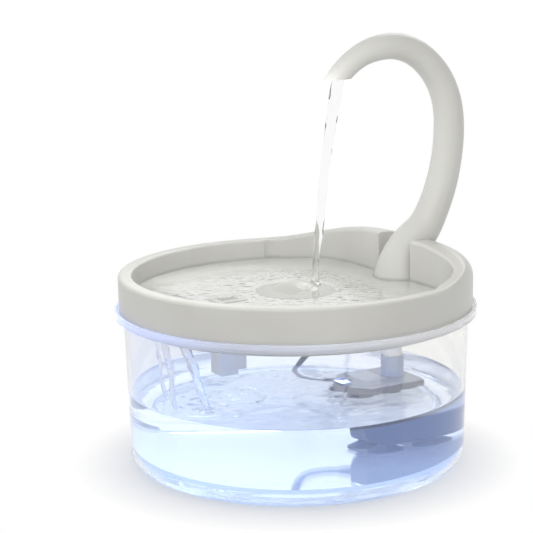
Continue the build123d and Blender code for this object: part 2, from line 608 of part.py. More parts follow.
def make_pump_housing():
    w = PUMP_WALL
    block = pump_block()
    block -= box(-HALF + w, HALF - w, PUMP_Y0 + NOSE_CUT, MOTOR_END_Y - w, PUMP_Z0 + w, PUMP_Z1 - w)
    # room for the iron behind the chamfered corners, and for the lamp's wires in the nose
    room = YOKE_X + 2 * FIT
    block -= box(-room, room, YOKE_Y0 - COIL_OVER - 2 * FIT, PUMP_Y0 + NOSE_CUT + 1, PUMP_Z0 + w, PUMP_Z1 - w)
    wires = HALF - NOSE_CUT
    block -= box(-wires, wires, PUMP_Y0 + w, YOKE_Y0, PUMP_Z0 + NOSE_BELLY_R, PUMP_Z1 - LED_DEPTH - w)
    # recess that the top plate lies in
    block -= plate_box(0.0, PUMP_Z1 + 1)
    # rotor well, closed at its front end
    block += rod_y(0, SHAFT_Z, WELL_R + WELL_WALL, WELL_Y - WELL_WALL, MOTOR_END_Y - w / 2)
    block -= rod_y(0, SHAFT_Z, WELL_R, WELL_Y, MOTOR_END_Y + 1)
    # window seat in the sloping edge of the nose, and the cable hole in the left corner face
    block -= led_seat(0.0)
    block -= gland_plane() * Pos(0, 0, -GLAND_PLUG) * Cylinder(GLAND_R1, 2 * GLAND_PLUG)
    for x, y in CUP_PLACES:
        block -= rod(x, y, CUP_STEM_R, PUMP_Z0 - 1, PUMP_Z0 + CUP_PLUG)
    return block


def plate_box(gap, top):
    """Block of the label plate in the pump's top."""
    x0, y0, y1 = -HALF + PLATE_SIDE, PUMP_Y0 + PLATE_Y[0], PUMP_Y0 + PLATE_Y[1]
    return box(x0 + gap, x0 + PLATE_W - gap, y0 + gap, y1 - gap, PUMP_Z1 - PLATE_T, top)


def led_seat(gap):
    """Block of the lamp window across the sloping top edge of the nose."""
    x0, y0, y1 = -HALF + LED_SIDE, PUMP_Y0 + LED_Y[0], PUMP_Y0 + LED_Y[1]
    return box(x0 + gap, x0 + LED_W - gap, y0 + gap, y1 - gap, PUMP_Z1 - LED_DEPTH + gap, PUMP_Z1 + 2)


def led_pocket(gap):
    """Space for the lamp's board in the underside of its window."""
    x0, x1 = -HALF + LED_SIDE + LED_RIM, -HALF + LED_SIDE + LED_W - LED_RIM
    rear = PUMP_Y0 + LED_Y[1] - LED_RIM + 0.1
    low = PUMP_Z1 - LED_DEPTH
    return box(x0 + gap, x1 - gap, rear - BOARD_W + gap, rear - gap, low, low + BOARD_ROOM - gap)


def make_led_window():
    return (led_seat(FIT) & pump_block()) - led_pocket(0.0)


def make_led_board():
    """Board with three lamps, filling its pocket with room above the lamps."""
    pocket = led_pocket(0.2).bounding_box()
    low, high = pocket.min, pocket.max
    board = box(low.X, high.X, low.Y, high.Y, low.Z + 0.1, low.Z + 0.9)
    pitch = (high.X - low.X) / 3
    y0, y1 = low.Y + 0.3, high.Y - 0.3
    for i in range(3):
        x = low.X + pitch * (i + 0.5)
        board += box(x - 0.3 * pitch, x + 0.3 * pitch, y0, y1, low.Z + 0.9, low.Z + 1.6)
    return board


def gland_plane():
    """Plane on the left corner face of the nose, facing out."""
    mid = (-HALF + NOSE_CUT / 2, PUMP_Y0 + NOSE_CUT / 2, GLAND_Z)
    return Plane(origin=mid, x_dir=(1, -1, 0), z_dir=(-1, -1, 0))


def make_gland():
    """Tapered, grooved strain relief with a flange, on the corner face."""
    taper = GLAND_LEN - GLAND_FLANGE
    gland = Pos(0, 0, -GLAND_PLUG / 2) * Cylinder(GLAND_R1 - 0.05, GLAND_PLUG)
    gland += Pos(0, 0, GLAND_FLANGE / 2) * Cylinder(GLAND_R0 + 0.7, GLAND_FLANGE)
    gland += Pos(0, 0, GLAND_FLANGE + taper / 2) * Cone(GLAND_R0, GLAND_R1, taper)
    ring = Cylinder(GLAND_R0 + 1, 0.5) - Cylinder(GLAND_R1 - 0.15, 0.5)
    for i in range(3):
        gland -= Pos(0, 0, GLAND_FLANGE + 1.2 + 1.4 * i) * ring
    return gland_plane() * gland


def gland_tip():
    return gland_plane().from_local_coords((0, 0, GLAND_LEN))


def make_top_plate():
    return plate_box(FIT, PUMP_Z1 + PLATE_PROUD)


def make_motor():
    """Laminated iron yoke around the rotor well, and the coil on its bridge."""
    z0, z1 = SHAFT_Z - YOKE_H / 2, SHAFT_Z + YOKE_H / 2
    reach = WELL_R + WELL_WALL + 0.4
    bridge_y1 = YOKE_Y0 + COIL_T
    yoke = box(-YOKE_X, YOKE_X, YOKE_Y0, YOKE_Y1, z0, z1)
    yoke -= rod_y(0, SHAFT_Z, reach, WELL_Y - WELL_WALL - 2 * FIT, YOKE_Y1 + 1)
    yoke -= box(-0.8 * COIL_X, 0.8 * COIL_X, WELL_Y - 1, YOKE_Y1 + 1, z0 - 1, z1 + 1)
    yoke -= box(-COIL_X, COIL_X, bridge_y1, WELL_Y, z0 - 1, z1 + 1)
    coil_y0, coil_y1 = YOKE_Y0 - COIL_OVER, bridge_y1 + COIL_OVER
    coil = box(-COIL_X, COIL_X, coil_y0, coil_y1, SHAFT_Z - COIL_H / 2, SHAFT_Z + COIL_H / 2)
    coil -= box(-YOKE_X, YOKE_X, YOKE_Y0, bridge_y1, z0, z1)
    return yoke, coil


def make_volute():
    """Impeller chamber with the outlet on top; its front face closes the rotor well."""
    volute = box(-HALF, HALF, MOTOR_END_Y, VOLUTE_END_Y, PUMP_Z0, PUMP_Z1)
    volute = fillet(volute.edges().filter_by(Axis.Y), EDGE_R)
    volute += rod(0, SPIGOT_Y, OUTLET_R, PUMP_Z1 - 1, OUTLET_TOP_Z)
    wall_y = VOLUTE_END_Y - CHAMBER_WALL
    volute -= rod_y(0, SHAFT_Z, CHAMBER_R, MOTOR_END_Y - 1, wall_y)
    volute -= rod_y(0, SHAFT_Z, INLET_R, wall_y - 1, VOLUTE_END_Y + 1)
    volute -= rod(0, SPIGOT_Y, OUTLET_R - OUTLET_WALL, SHAFT_Z + 4, OUTLET_TOP_Z + 1)
    # spider that holds the rear bush in the inlet
    spider = box(-INLET_R - 0.4, INLET_R + 0.4, wall_y + 0.2, VOLUTE_END_Y, SHAFT_Z - 1.0, SHAFT_Z + 1.0)
    spider += rod_y(0, SHAFT_Z, REAR_BUSH_R + 0.7, wall_y + 0.2, VOLUTE_END_Y)
    volute += spider - rod_y(0, SHAFT_Z, REAR_BUSH_R, wall_y - 1, VOLUTE_END_Y - 0.6)
    return volute


def make_strainer():
    """Slotted inlet cover over the pump's rear end."""
    inset, inside = STRAINER_IN, STRAINER_IN + STRAINER_WALL
    cover = box(-HALF + inset, HALF - inset, VOLUTE_END_Y, STRAINER_END_Y, PUMP_Z0 + inset, PUMP_Z1 - inset)
    cover = fillet(cover.edges().filter_by(Axis.Y), EDGE_R)
    cover = fillet(cover.faces().sort_by(Axis.Y)[-1].edges(), EDGE_R / 2)
    cover -= strainer_inside(0.0, VOLUTE_END_Y - 1)
    count = int((HALF - inside - SLOT_PITCH + SLOT_W / 2) / SLOT_PITCH)
    for i in range(-count, count + 1):
        x = SLOT_PITCH * i
        slot_z0, slot_z1 = PUMP_Z0 + inside + 1.6, PUMP_Z1 - inside - 1.6
        cover -= box(x - SLOT_W / 2, x + SLOT_W / 2, STRAINER_END_Y - 2, STRAINER_END_Y + 1, slot_z0, slot_z1)
    return cover


def strainer_inside(gap, front):
    """Space inside the inlet cover."""
    inset = STRAINER_IN + STRAINER_WALL + gap
    rear = STRAINER_END_Y - STRAINER_WALL + 0.2 - gap
    return box(-HALF + inset, HALF - inset, front, rear, PUMP_Z0 + inset, PUMP_Z1 - inset)


def make_inlet_foam():
    return strainer_inside(1.5 * FIT, VOLUTE_END_Y + 1.5 * FIT)


def make_rotor():
    """Ring magnet on a sleeve, and the vaned wheel in the volute chamber."""
    bore = SHAFT_R + SHAFT_FIT
    y0, y1 = MOTOR_END_Y - 1.0, VOLUTE_END_Y - CHAMBER_WALL - 1.4
    plate_y = y0 + 2.2
    magnet = rod_y(0, SHAFT_Z, MAGNET_R, WELL_Y + BUSH_LEN + 0.3, y0)
    magnet -= rod_y(0, SHAFT_Z, bore, WELL_Y, y0 + 1)
    wheel = rod_y(0, SHAFT_Z, HUB_R, y0, y1)
    wheel += rod_y(0, SHAFT_Z, MAGNET_R - 0.4, y0, plate_y)
    for i in range(6):
        vane = box(0, VANE_R, plate_y, y1, -VANE_T / 2, VANE_T / 2)
        wheel += Pos(0, 0, SHAFT_Z) * Rot(0, 60 * i, 0) * vane
    wheel -= rod_y(0, SHAFT_Z, bore, y0 - 1, y1 + 1)
    return magnet, wheel


def make_shaft_and_bushes():
    """Fixed shaft between a bush at the closed end of the well and one in the inlet's spider."""
    y0, y1 = WELL_Y + 0.6, VOLUTE_END_Y - 0.8
    rear_y1 = VOLUTE_END_Y - 0.6
    shaft = rod_y(0, SHAFT_Z, SHAFT_R, y0, y1)
    front = rod_y(0, SHAFT_Z, BUSH_R, WELL_Y, WELL_Y + BUSH_LEN) - shaft
    rear = rod_y(0, SHAFT_Z, REAR_BUSH_R, rear_y1 - BUSH_LEN, rear_y1) - shaft
    return shaft, Compound([front, rear])


def make_cup(x, y):
    """Suction cup: a thin bell on the tank floor with a neck and a plug."""
    stem_r, stem_top = CUP_STEM_R - PUSH_FIT, PUMP_Z0 + CUP_PLUG
    z = TANK_FLOOR_Z
    profile = [
        (0, z + CUP_HOLLOW), (CUP_R - CUP_HOLLOW, z), (CUP_R, z), (CUP_R, z + CUP_LIP),
        (CUP_R / 2, z + 0.7 * CUP_H), (CUP_STEM_R + CUP_LIP, PUMP_Z0), (stem_r, PUMP_Z0),
        (stem_r, stem_top), (0, stem_top),
    ]
    return Pos(x, y, 0) * turned(profile)


# ---- cable ------------------------------------------------------------------------------------------------
def cable_lead_points():
    """From the strain relief, up and over the ledge at the rear left, and down to the coil."""
    tip = gland_tip()
    z = CABLE_R
    return [
        (tip.X, tip.Y, tip.Z), (-25.5, 20.5, GLAND_Z), (-32.0, 17.0, 29.5), (-34.0, 18.5, 40.0),
        (-36.0, 26.5, 46.8), (-38.0, 39.0, 52.0), (-43.0, 49.0, 62.5), (-50.5, 54.5, 75.5),
        (-60.0, 61.0, 88.0), (-76.8, 77.4, 88.1), (-84.0, 84.6, 76.0), (-86.5, 87.5, 58.0),
        (-86.5, 91.0, 39.0), (-86.5, 95.5, 21.0), (-88.5, 100.5, 7.5),
        (-95.0, 104.2, z), (-104.5, 105.0, z), (-113.5, 104.4, z),
    ]


def cable_tail_points():
    """From the coil to the plug beside it."""
    x, y = COIL_CENTRE
    reach, top = COIL_MID_R + 2 * CABLE_R, (2 * COIL_LAYERS - 1) * CABLE_R
    return [
        (x - reach, y + 2.0, top), (x - reach - 0.4, y - 9.0, top - 0.5), (x - reach - 0.2, y - 21.0, 5.6),
        (x - reach + 1.2, y - 33.0, 3.4), (x - reach + 1.6, y - 44.0, PLUG_BODY[2] / 2),
    ]


def make_sleeve():
    """Short protective sleeve on the cable above the water."""
    a, b = [Vector(*p) for p in cable_lead_points()[4:6]]
    middle = Plane(origin=(a + b) / 2, z_dir=b - a)
    return middle * (Cylinder(SLEEVE_R, SLEEVE_LEN) - Cylinder(CABLE_R, SLEEVE_LEN))


def coil_section(gap, z0):
    """Half width, bottom and top of the wound turns with a gap around them."""
    half = COIL_ACROSS * CABLE_R
    return COIL_MID_R - half - gap, COIL_MID_R + half + gap, z0, 2 * COIL_LAYERS * CABLE_R + gap


def ring_solid(inner, outer, z0, z1):
    x, y = COIL_CENTRE
    ring = rod(x, y, outer, z0, z1) - rod(x, y, inner, z0 - 1, z1 + 1)
    return fillet(ring.edges(), 0.28 * (outer - inner) * (z1 - z0) / (outer - inner + z1 - z0))


def make_coil_and_tie():
    """Wound turns as one ring, pinched by a strap."""
    x, y = COIL_CENTRE
    window = box(x - TIE_W / 2, x + TIE_W / 2, y - 2 * COIL_MID_R, y, -1, 3 * COIL_MID_R)
    coil = ring_solid(*coil_section(0.0, 0.0))
    strap_out = ring_solid(*coil_section(TIE_T / 2, 0.02))
    strap_in = ring_solid(*coil_section(-TIE_T / 2, TIE_T))
    strap = (strap_out - strap_in) & window
    return coil - (strap_out & window) + (strap_in & window), strap


def make_plug():
    """Plug body with a tapered cable end, and its metal shell."""
    points = cable_tail_points()
    a, b = Vector(*points[-2]), Vector(*points[-1])
    along = Vector(b.X - a.X, b.Y - a.Y, 0).normalized()
    end = Plane(origin=b, x_dir=(0, 0, 1), z_dir=along)
    length, width, height = PLUG_BODY
    body = end * (Pos(0, 0, PLUG_SET + length / 2) * Box(height, width, length))
    body = fillet(body.edges(), height / 4)
    body += end * (Pos(0, 0, PLUG_TAPER / 2) * Cone(CABLE_R + 0.5, 0.45 * height, PLUG_TAPER))
    l2, w2, h2 = PLUG_SHELL
    at = Pos(0, 0, PLUG_SET + length + l2 / 2)
    shell = end * (at * Box(h2, w2, l2) - at * Pos(0, 0, 0.5) * Box(h2 - 0.7, w2 - 0.7, l2))
    tongue = end * (at * Pos(-h2 / 2 + 1.2, 0, -0.5) * Box(1.7, w2 - 1.2, l2 - 1.6))
    return body, shell + tongue


# ---- build and write --------------------------------------------------------------------------------------
save(make_tank(), "tank")
tray = add_tray_fittings(make_tray())
save(tray, "tray")
neck_left, neck_right, nozzle = make_neck()
save(neck_left, "neck_shell_left")
save(neck_right, "neck_shell_right")
save(nozzle, "outlet_nozzle")
save(make_hose(), "neck_hose")
spigot, seal_z = make_spigot()
save(spigot, "neck_spigot")
save(make_seal(seal_z), "spigot_seal")
save(make_riser(), "riser_tube")
save(make_cuff(), "riser_cuff")
cassette, carbon, foam = make_cassette()
save(cassette, "filter_cassette")
save(carbon, "filter_carbon")
save(foam, "filter_foam")
save(make_dome(), "splash_dome")
save(make_pump_housing(), "pump_housing")
save(make_top_plate(), "pump_top_plate")
save(make_volute(), "pump_volute")
save(make_strainer(), "inlet_strainer")
save(make_inlet_foam(), "inlet_foam")
yoke, coil_winding = make_motor()
save(yoke, "motor_yoke")
save(coil_winding, "motor_coil")
magnet, wheel = make_rotor()
save(magnet, "rotor_magnet")
save(wheel, "impeller_wheel")
shaft, bushes = make_shaft_and_bushes()
save(shaft, "rotor_shaft")
save(bushes, "shaft_bushes")
save(make_led_board(), "led_board")
save(make_led_window(), "led_window")
save(make_gland(), "cable_gland")
save(Compound([make_cup(x, y) for x, y in CUP_PLACES]), "suction_cups")
save(cord_tube(cable_lead_points(), CABLE_R, "lead"), "usb_cable_lead")
cable_coil, cable_tie = make_coil_and_tie()
save(cable_coil, "usb_cable_coil")
save(cable_tie, "cable_tie")
save(cord_tube(cable_tail_points(), CABLE_R, "tail"), "usb_cable_tail")
save(make_sleeve(), "cable_sleeve")
plug_body, plug_shell = make_plug()
save(plug_body, "usb_plug_body")
save(plug_shell, "usb_plug_shell")
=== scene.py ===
# %% [markdown]
# # A pet water fountain with a swan neck
# The solid model of the fountain arrives as a fixed frame: every plastic part, the pump and its motor are
# already there at their real size. This lesson gives those parts their finish and adds what a solid model
# leaves out: the water in the tank and the bowl, the falling streams, the wound cable and the light.

# %% Load the frame
import math
import random

import bpy
from mathutils import Matrix, Vector, noise


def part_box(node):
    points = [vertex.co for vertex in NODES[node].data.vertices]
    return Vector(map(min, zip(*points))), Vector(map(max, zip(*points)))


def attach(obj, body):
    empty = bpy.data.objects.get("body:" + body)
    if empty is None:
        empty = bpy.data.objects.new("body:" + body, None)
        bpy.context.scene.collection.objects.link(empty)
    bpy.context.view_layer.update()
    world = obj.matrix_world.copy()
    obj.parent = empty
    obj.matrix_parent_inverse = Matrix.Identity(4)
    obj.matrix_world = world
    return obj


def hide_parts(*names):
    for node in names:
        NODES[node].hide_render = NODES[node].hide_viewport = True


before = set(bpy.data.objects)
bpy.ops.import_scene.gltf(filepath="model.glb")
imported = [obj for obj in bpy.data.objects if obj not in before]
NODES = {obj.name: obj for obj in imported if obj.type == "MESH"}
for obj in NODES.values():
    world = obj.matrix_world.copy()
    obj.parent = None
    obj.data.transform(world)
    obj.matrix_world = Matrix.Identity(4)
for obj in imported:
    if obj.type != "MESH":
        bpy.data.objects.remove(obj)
noise.seed_set(5)  # vector noise follows the clock unless it is given a seed
MM = 0.001
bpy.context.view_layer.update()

# %% [markdown]
# The camera stands a little above the rim and to the side of the neck, so that bowl, tank and crook are
# all in sight. A short lens close by would swell the near side of the round tank, and a view without
# perspective would look like a drawing, so a long lens stands well back. Its place is given by an angle,
# a height and a distance, and a small pan and roll are added at the end.

# %% Camera
TURN, ELEVATION, DISTANCE = 60.0, 17.7, 1.0106
AIM = Vector((0, 0, 0.1096))
PAN, ROLL = -0.92, -0.77
LENS, SENSOR_WIDTH, CLIP_END = 119.92, 36.0, 20


def camera_axes():
    """Right, up and forward of the camera, and its place."""
    turn, rise = math.radians(TURN), math.radians(ELEVATION)
    out = math.cos(rise)
    place = DISTANCE * Vector((math.sin(turn) * out, -math.cos(turn) * out, math.sin(rise)))
    forward = (AIM - place).normalized()
    right = forward.cross(Vector((0, 0, 1))).normalized()
    up = right.cross(forward)
    pan, roll = math.radians(PAN), math.radians(ROLL)
    forward = forward * math.cos(pan) + right * math.sin(pan)
    level = forward.cross(up)
    right = level * math.cos(roll) + up * math.sin(roll)
    up = up * math.cos(roll) - level * math.sin(roll)
    return right, up, forward, place


right, up, forward, place = camera_axes()
camera = bpy.data.objects.new("camera", bpy.data.cameras.new("camera"))
bpy.context.scene.collection.objects.link(camera)
camera.data.lens = LENS
camera.data.sensor_width = SENSOR_WIDTH
camera.data.clip_end = CLIP_END
camera.matrix_world = Matrix.Translation(place) @ Matrix((right, up, -forward)).transposed().to_4x4()
bpy.context.scene.camera = camera
print("camera at", [round(x, 3) for x in place])

# %% [markdown]
# The cable is a thin, soft low-voltage lead. It leaves the pump's nose through a strain relief, rises out
# of the water, passes through a notch in the tank's collar and hangs down outside. The rest is wound into
# a small tied coil with the plug beside it. It could be put together from bent cylinders, but each joint
# would show as a kink. So one NURBS spline carries all of it: the free stretches are given point by point,
# and the turns of the coil are worked out by a loop.

# %% Cable route
CABLE_D = 3.2
LEAD = [
    (-17.45, 28.55, 21.2), (-25.5, 20.5, 21.2), (-32.0, 17.0, 29.5), (-34.0, 18.5, 40.0),
    (-36.0, 26.5, 46.8), (-38.0, 39.0, 52.0), (-43.0, 49.0, 62.5), (-50.5, 54.5, 75.5),
    (-60.0, 61.0, 88.0), (-76.8, 77.4, 88.1), (-84.0, 84.6, 76.0), (-86.5, 87.5, 58.0),
    (-86.5, 91.0, 39.0), (-86.5, 95.5, 21.0), (-88.5, 100.5, 7.5), (-95.0, 104.2, 1.6),
    (-104.5, 105.0, 1.6), (-113.5, 104.4, 1.6),
]
TAIL = [
    (-132.7, 86.0, 11.2), (-133.1, 75.0, 10.7), (-132.9, 63.0, 5.6), (-131.5, 51.0, 3.4),
    (-131.1, 40.0, 3.2),
]
COIL_CENTRE = (-112.0, 84.0)
COIL_MID_R = 17.5
COIL_ACROSS, COIL_LAYERS = 3, 4
COIL_TURNS = COIL_ACROSS * COIL_LAYERS
COIL_START, COIL_END = 114, 165  # degrees
STEPS = 16
EASE_FROM, EASE_SPAN = 0.72, 0.28  # share of a turn


def turn_place(k):
    """Radius and height of wound turn k: inwards, up, outwards, up."""
    layer, place_in_layer = divmod(k, COIL_ACROSS)
    step = place_in_layer if layer % 2 == 0 else COIL_ACROSS - 1 - place_in_layer
    return COIL_MID_R + CABLE_D * ((COIL_ACROSS - 1) / 2 - step), CABLE_D * (layer + 0.5)


def coil_points(start_deg, end_deg):
    """Control points of the wound turns. Each turn eases into the next near its end."""
    points = []
    total = 360 * (COIL_TURNS - 1) + end_deg - start_deg
    count = round(total / 360 * STEPS)
    for i in range(count + 1):
        turned = i * total / count
        k, share = divmod(turned / 360, 1)
        ease = min(max((share - EASE_FROM) / EASE_SPAN, 0), 1)
        ease = ease * ease * (3 - 2 * ease)
        r0, z0 = turn_place(int(k))
        r1, z1 = turn_place(min(int(k) + 1, COIL_TURNS - 1))
        radius = (r0 + (r1 - r0) * ease) / math.cos(math.pi / STEPS) ** 0.5
        height = z0 + (z1 - z0) * ease
        a = math.radians(start_deg + turned)
        x, y = COIL_CENTRE[0] + radius * math.cos(a), COIL_CENTRE[1] + radius * math.sin(a)
        points.append((x, y, height))
    return points


ROUTE = LEAD + coil_points(COIL_START, COIL_END) + TAIL
print("route has", len(ROUTE), "points")


# %% Cable curve
def nurbs(name, points, radii, around, along):
    """Round tube of one open NURBS spline through points in millimetres, with a radius at each point."""
    data = bpy.data.curves.new(name, "CURVE")
    data.dimensions = "3D"
    data.bevel_depth = 1.0
    data.bevel_resolution = around
    data.use_fill_caps = True
    spline = data.splines.new("NURBS")
    spline.points.add(len(points) - 1)
    for control, (x, y, z), radius in zip(spline.points, points, radii):
        control.co = (x * MM, y * MM, z * MM, 1)
        control.radius = radius * MM
    spline.order_u = 3
    spline.use_endpoint_u = True
    data.resolution_u = along
    curve = bpy.data.objects.new(name, data)
    bpy.context.scene.collection.objects.link(curve)
    return curve


cable = nurbs("usb_cable", ROUTE, [CABLE_D / 2] * len(ROUTE), around=4, along=6)
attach(cable, "tank")
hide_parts("usb_cable_lead", "usb_cable_coil", "usb_cable_tail")
print("cable is", CABLE_D, "mm thick and has", COIL_TURNS, "turns")

# %% [markdown]
# Materials come next. Moulded plastic is never perfectly even: its colour drifts a little, its gloss
# varies, and a very shallow grain breaks up its reflections. A picture of plastic could carry that, but
# it would need unwrapped faces. Noise on Object coordinates needs none, keeps its real size on every
# part, and moves with the part, so each finish is a Principled shader that noise varies.

# %% Materials and noise
def new_material(name):
    """New material with its nodes, its links and its shader."""
    material = bpy.data.materials.new(name)
    material.use_nodes = True
    return material, *opened(material)


def opened(material):
    """Nodes, links and shader of a material."""
    nodes, links = material.node_tree.nodes, material.node_tree.links
    return nodes, links, nodes["Principled BSDF"]


def object_place(nodes):
    """Place on the piece, in metres."""
    return nodes.new("ShaderNodeTexCoord").outputs["Object"]


def object_noise(nodes, links, scale, detail, stretch=(1, 1, 1)):
    """Noise on Object coordinates. scale is in waves per metre."""
    mapping = nodes.new("ShaderNodeMapping")
    mapping.inputs["Scale"].default_value = stretch
    texture = nodes.new("ShaderNodeTexNoise")
    texture.inputs["Scale"].default_value = scale
    texture.inputs["Detail"].default_value = detail
    links.new(object_place(nodes), mapping.inputs["Vector"])
    links.new(mapping.outputs["Vector"], texture.inputs["Vector"])
    return texture.outputs["Fac"]


print("materials so far", len(bpy.data.materials))


# %% Numbers and colours that follow a value
def span(nodes, links, value, start, end, low=0.0, high=1.0):
    """A number that goes from low to high while value goes from start to end."""
    node = nodes.new("ShaderNodeMapRange")
    node.inputs["From Min"].default_value = start
    node.inputs["From Max"].default_value = end
    node.inputs["To Min"].default_value = low
    node.inputs["To Max"].default_value = high
    links.new(value, node.inputs["Value"])
    return node.outputs["Result"]


def ramp(nodes, links, value, first, second, start=0.0, end=1.0):
    """A colour that goes from first to second while value goes from start to end."""
    node = nodes.new("ShaderNodeValToRGB")
    for i, (place_on_ramp, colour) in enumerate(((start, first), (end, second))):
        node.color_ramp.elements[i].position = place_on_ramp
        node.color_ramp.elements[i].color = (*colour, 1)
    links.new(value, node.inputs["Fac"])
    return node.outputs["Color"]


NOISE_LOW, NOISE_HIGH = 0.35, 0.65
print("most of the noise lies between", NOISE_LOW, "and", NOISE_HIGH)

# %% Moulded plastic
DRIFT_SCALE, DRIFT_DETAIL, FINE_DETAIL = 18.0, 3.0, 5.0
GRAIN_STRENGTH, GLOSS_SHIFT = 0.25, 0.05


def bump(nodes, links, height, shader, strength, distance):
    """Shallow relief that follows a height."""
    node = nodes.new("ShaderNodeBump")
    node.inputs["Strength"].default_value = strength
    node.inputs["Distance"].default_value = distance
    links.new(height, node.inputs["Height"])
    links.new(node.outputs["Normal"], shader.inputs["Normal"])


def moulded(name, colour, rough, grain=900.0, depth=0.00002, shift=0.035):
    """Moulded plastic: a soft colour drift, uneven gloss and a very shallow grain."""
    material, nodes, links, shader = new_material(name)
    dark = [c * (1 - shift) for c in colour]
    light = [min(1, c * (1 + shift)) for c in colour]
    drift = object_noise(nodes, links, DRIFT_SCALE, DRIFT_DETAIL)
    links.new(ramp(nodes, links, drift, dark, light, NOISE_LOW, NOISE_HIGH), shader.inputs["Base Color"])
    fine = object_noise(nodes, links, grain, FINE_DETAIL)
    gloss = span(nodes, links, fine, NOISE_LOW, NOISE_HIGH, rough - GLOSS_SHIFT, rough + GLOSS_SHIFT)
    links.new(gloss, shader.inputs["Roughness"])
    bump(nodes, links, fine, shader, GRAIN_STRENGTH, depth)
    return material


print("colour drifts over about", round(1 / DRIFT_SCALE / MM), "mm")


# %% Giving a finish to parts
def give(material, *names):
    """Put a material on parts of the solid model."""
    for name in names:
        NODES[name].data.materials.clear()
        NODES[name].data.materials.append(material)
    print(material.name, "on", ", ".join(names))


print("parts of the solid model", len(NODES))

# %% [markdown]
# Tray, neck and dome are injection-moulded in one warm off-white plastic with a satin surface. The dome
# is polished a little more, since the stream runs over it, and its tone is painted lighter, as painted
# light for the film of water that shines on it. The riser pipe in the tank is a whiter, nearly milky
# plastic.

# %% Tray, neck and dome
TRAY_TONE = (0.64, 0.635, 0.6)
tray_plastic = moulded("tray_plastic", TRAY_TONE, 0.34)
give(tray_plastic, "tray", "neck_shell_left", "neck_shell_right", "outlet_nozzle", "neck_spigot")
# Painted light: the dome's lighter tone stands in for the shine of the water film over it.
give(moulded("dome_plastic_painted_light", (0.7, 0.695, 0.66), 0.3), "splash_dome")
give(moulded("riser_plastic", (0.95, 0.93, 0.92), 0.38), "riser_tube")

# %% [markdown]
# The filter's cassette has a lid of the tray's plastic on a box of thin plastic that hangs into the tank.
# The box is painted blue, as painted light from the pump's lamp on it. Two material slots would need its
# faces sorted. A step in colour at one height is simpler and can't miss a face: the dot product of the
# place and a direction says how far along it a point lies.

# %% Filter cassette
UP = (0, 0, 1)
BOX_PAINTED_LAMP_BLUE = (0.62, 0.7, 1.0)
LID_Z = (0.0855, 0.0875)


def across(nodes, links, direction, low, high):
    """0 to 1 along a direction of Object coordinates, between two distances in metres."""
    along = nodes.new("ShaderNodeVectorMath")
    along.operation = "DOT_PRODUCT"
    along.inputs[1].default_value = direction
    links.new(object_place(nodes), along.inputs[0])
    return span(nodes, links, along.outputs["Value"], low, high)


def two_heights(material, heights, below, above):
    """Paint a material in one tone below a height and in another above it."""
    nodes, links, shader = opened(material)
    tone = ramp(nodes, links, across(nodes, links, UP, *heights), below, above)
    links.new(tone, shader.inputs["Base Color"])


# Painted light: the box's blue stands in for the pump lamp's light on it.
cassette_plastic = moulded("cassette_plastic", BOX_PAINTED_LAMP_BLUE, 0.4)
two_heights(cassette_plastic, LID_Z, BOX_PAINTED_LAMP_BLUE, TRAY_TONE)
give(cassette_plastic, "filter_cassette")

# %% [markdown]
# The tank is one clear moulding with a stepped collar. A glass shader alone throws a hard, dark shadow,
# and a plain see-through shader would lose the refraction that shows the pump again in the wall. So what
# is seen is a refracting shader, and rays that only test for shadow pass it as a pale tint. The collar
# scatters more light than the wall, so it is less clear. The pump lamp's blue is painted light here: wall
# and collar are tinted blue on the side that the lamp faces, and the collar there has a painted glow.

# %% Clear material
PLASTIC_IOR = 1.49


def blend(nodes, links, share, first, second):
    """The first shader where share is 0, and the second where it is 1."""
    mix = nodes.new("ShaderNodeMixShader")
    links.new(share, mix.inputs["Fac"])
    links.new(first, mix.inputs[1])
    links.new(second, mix.inputs[2])
    return mix.outputs["Shader"]


def clear(name, colour, ior, rough, passes=(0.97, 0.98, 1.0), haze=0.0):
    """Clear material that lets lamps through: glass for what is seen, plain tint for shadows."""
    material, nodes, links, shader = new_material(name)
    shader.inputs["Base Color"].default_value = (*colour, 1)
    shader.inputs["Transmission Weight"].default_value = 1.0 - haze
    shader.inputs["IOR"].default_value = ior
    shader.inputs["Roughness"].default_value = rough
    through = nodes.new("ShaderNodeBsdfTransparent")
    through.inputs["Color"].default_value = (*passes, 1)
    shadow = nodes.new("ShaderNodeLightPath").outputs["Is Shadow Ray"]
    surface = blend(nodes, links, shadow, shader.outputs["BSDF"], through.outputs["BSDF"])
    links.new(surface, nodes["Material Output"].inputs["Surface"])
    return material


tank_plastic = clear("tank_plastic", (0.97, 0.98, 1.0), PLASTIC_IOR, 0.03)
print(tank_plastic.name, "has", len(tank_plastic.node_tree.nodes), "nodes")


# %% Tones of the tank
def choose(nodes, links, share, first, second, kind="FLOAT"):
    """First where share is 0, second where it is 1. Each is a socket or a plain value."""
    mix = nodes.new("ShaderNodeMix")
    mix.data_type = kind
    links.new(share, mix.inputs["Factor"])
    for key, value in (("A", first), ("B", second)):
        if isinstance(value, bpy.types.NodeSocket):
            links.new(value, mix.inputs[key])
        else:
            mix.inputs[key].default_value = value
    return mix.outputs["Result"]


def combine(nodes, links, operation, first, second):
    """Product, maximum or other operation on two numbers."""
    node = nodes.new("ShaderNodeMath")
    node.operation = operation
    links.new(first, node.inputs[0])
    links.new(second, node.inputs[1])
    return node.outputs["Value"]


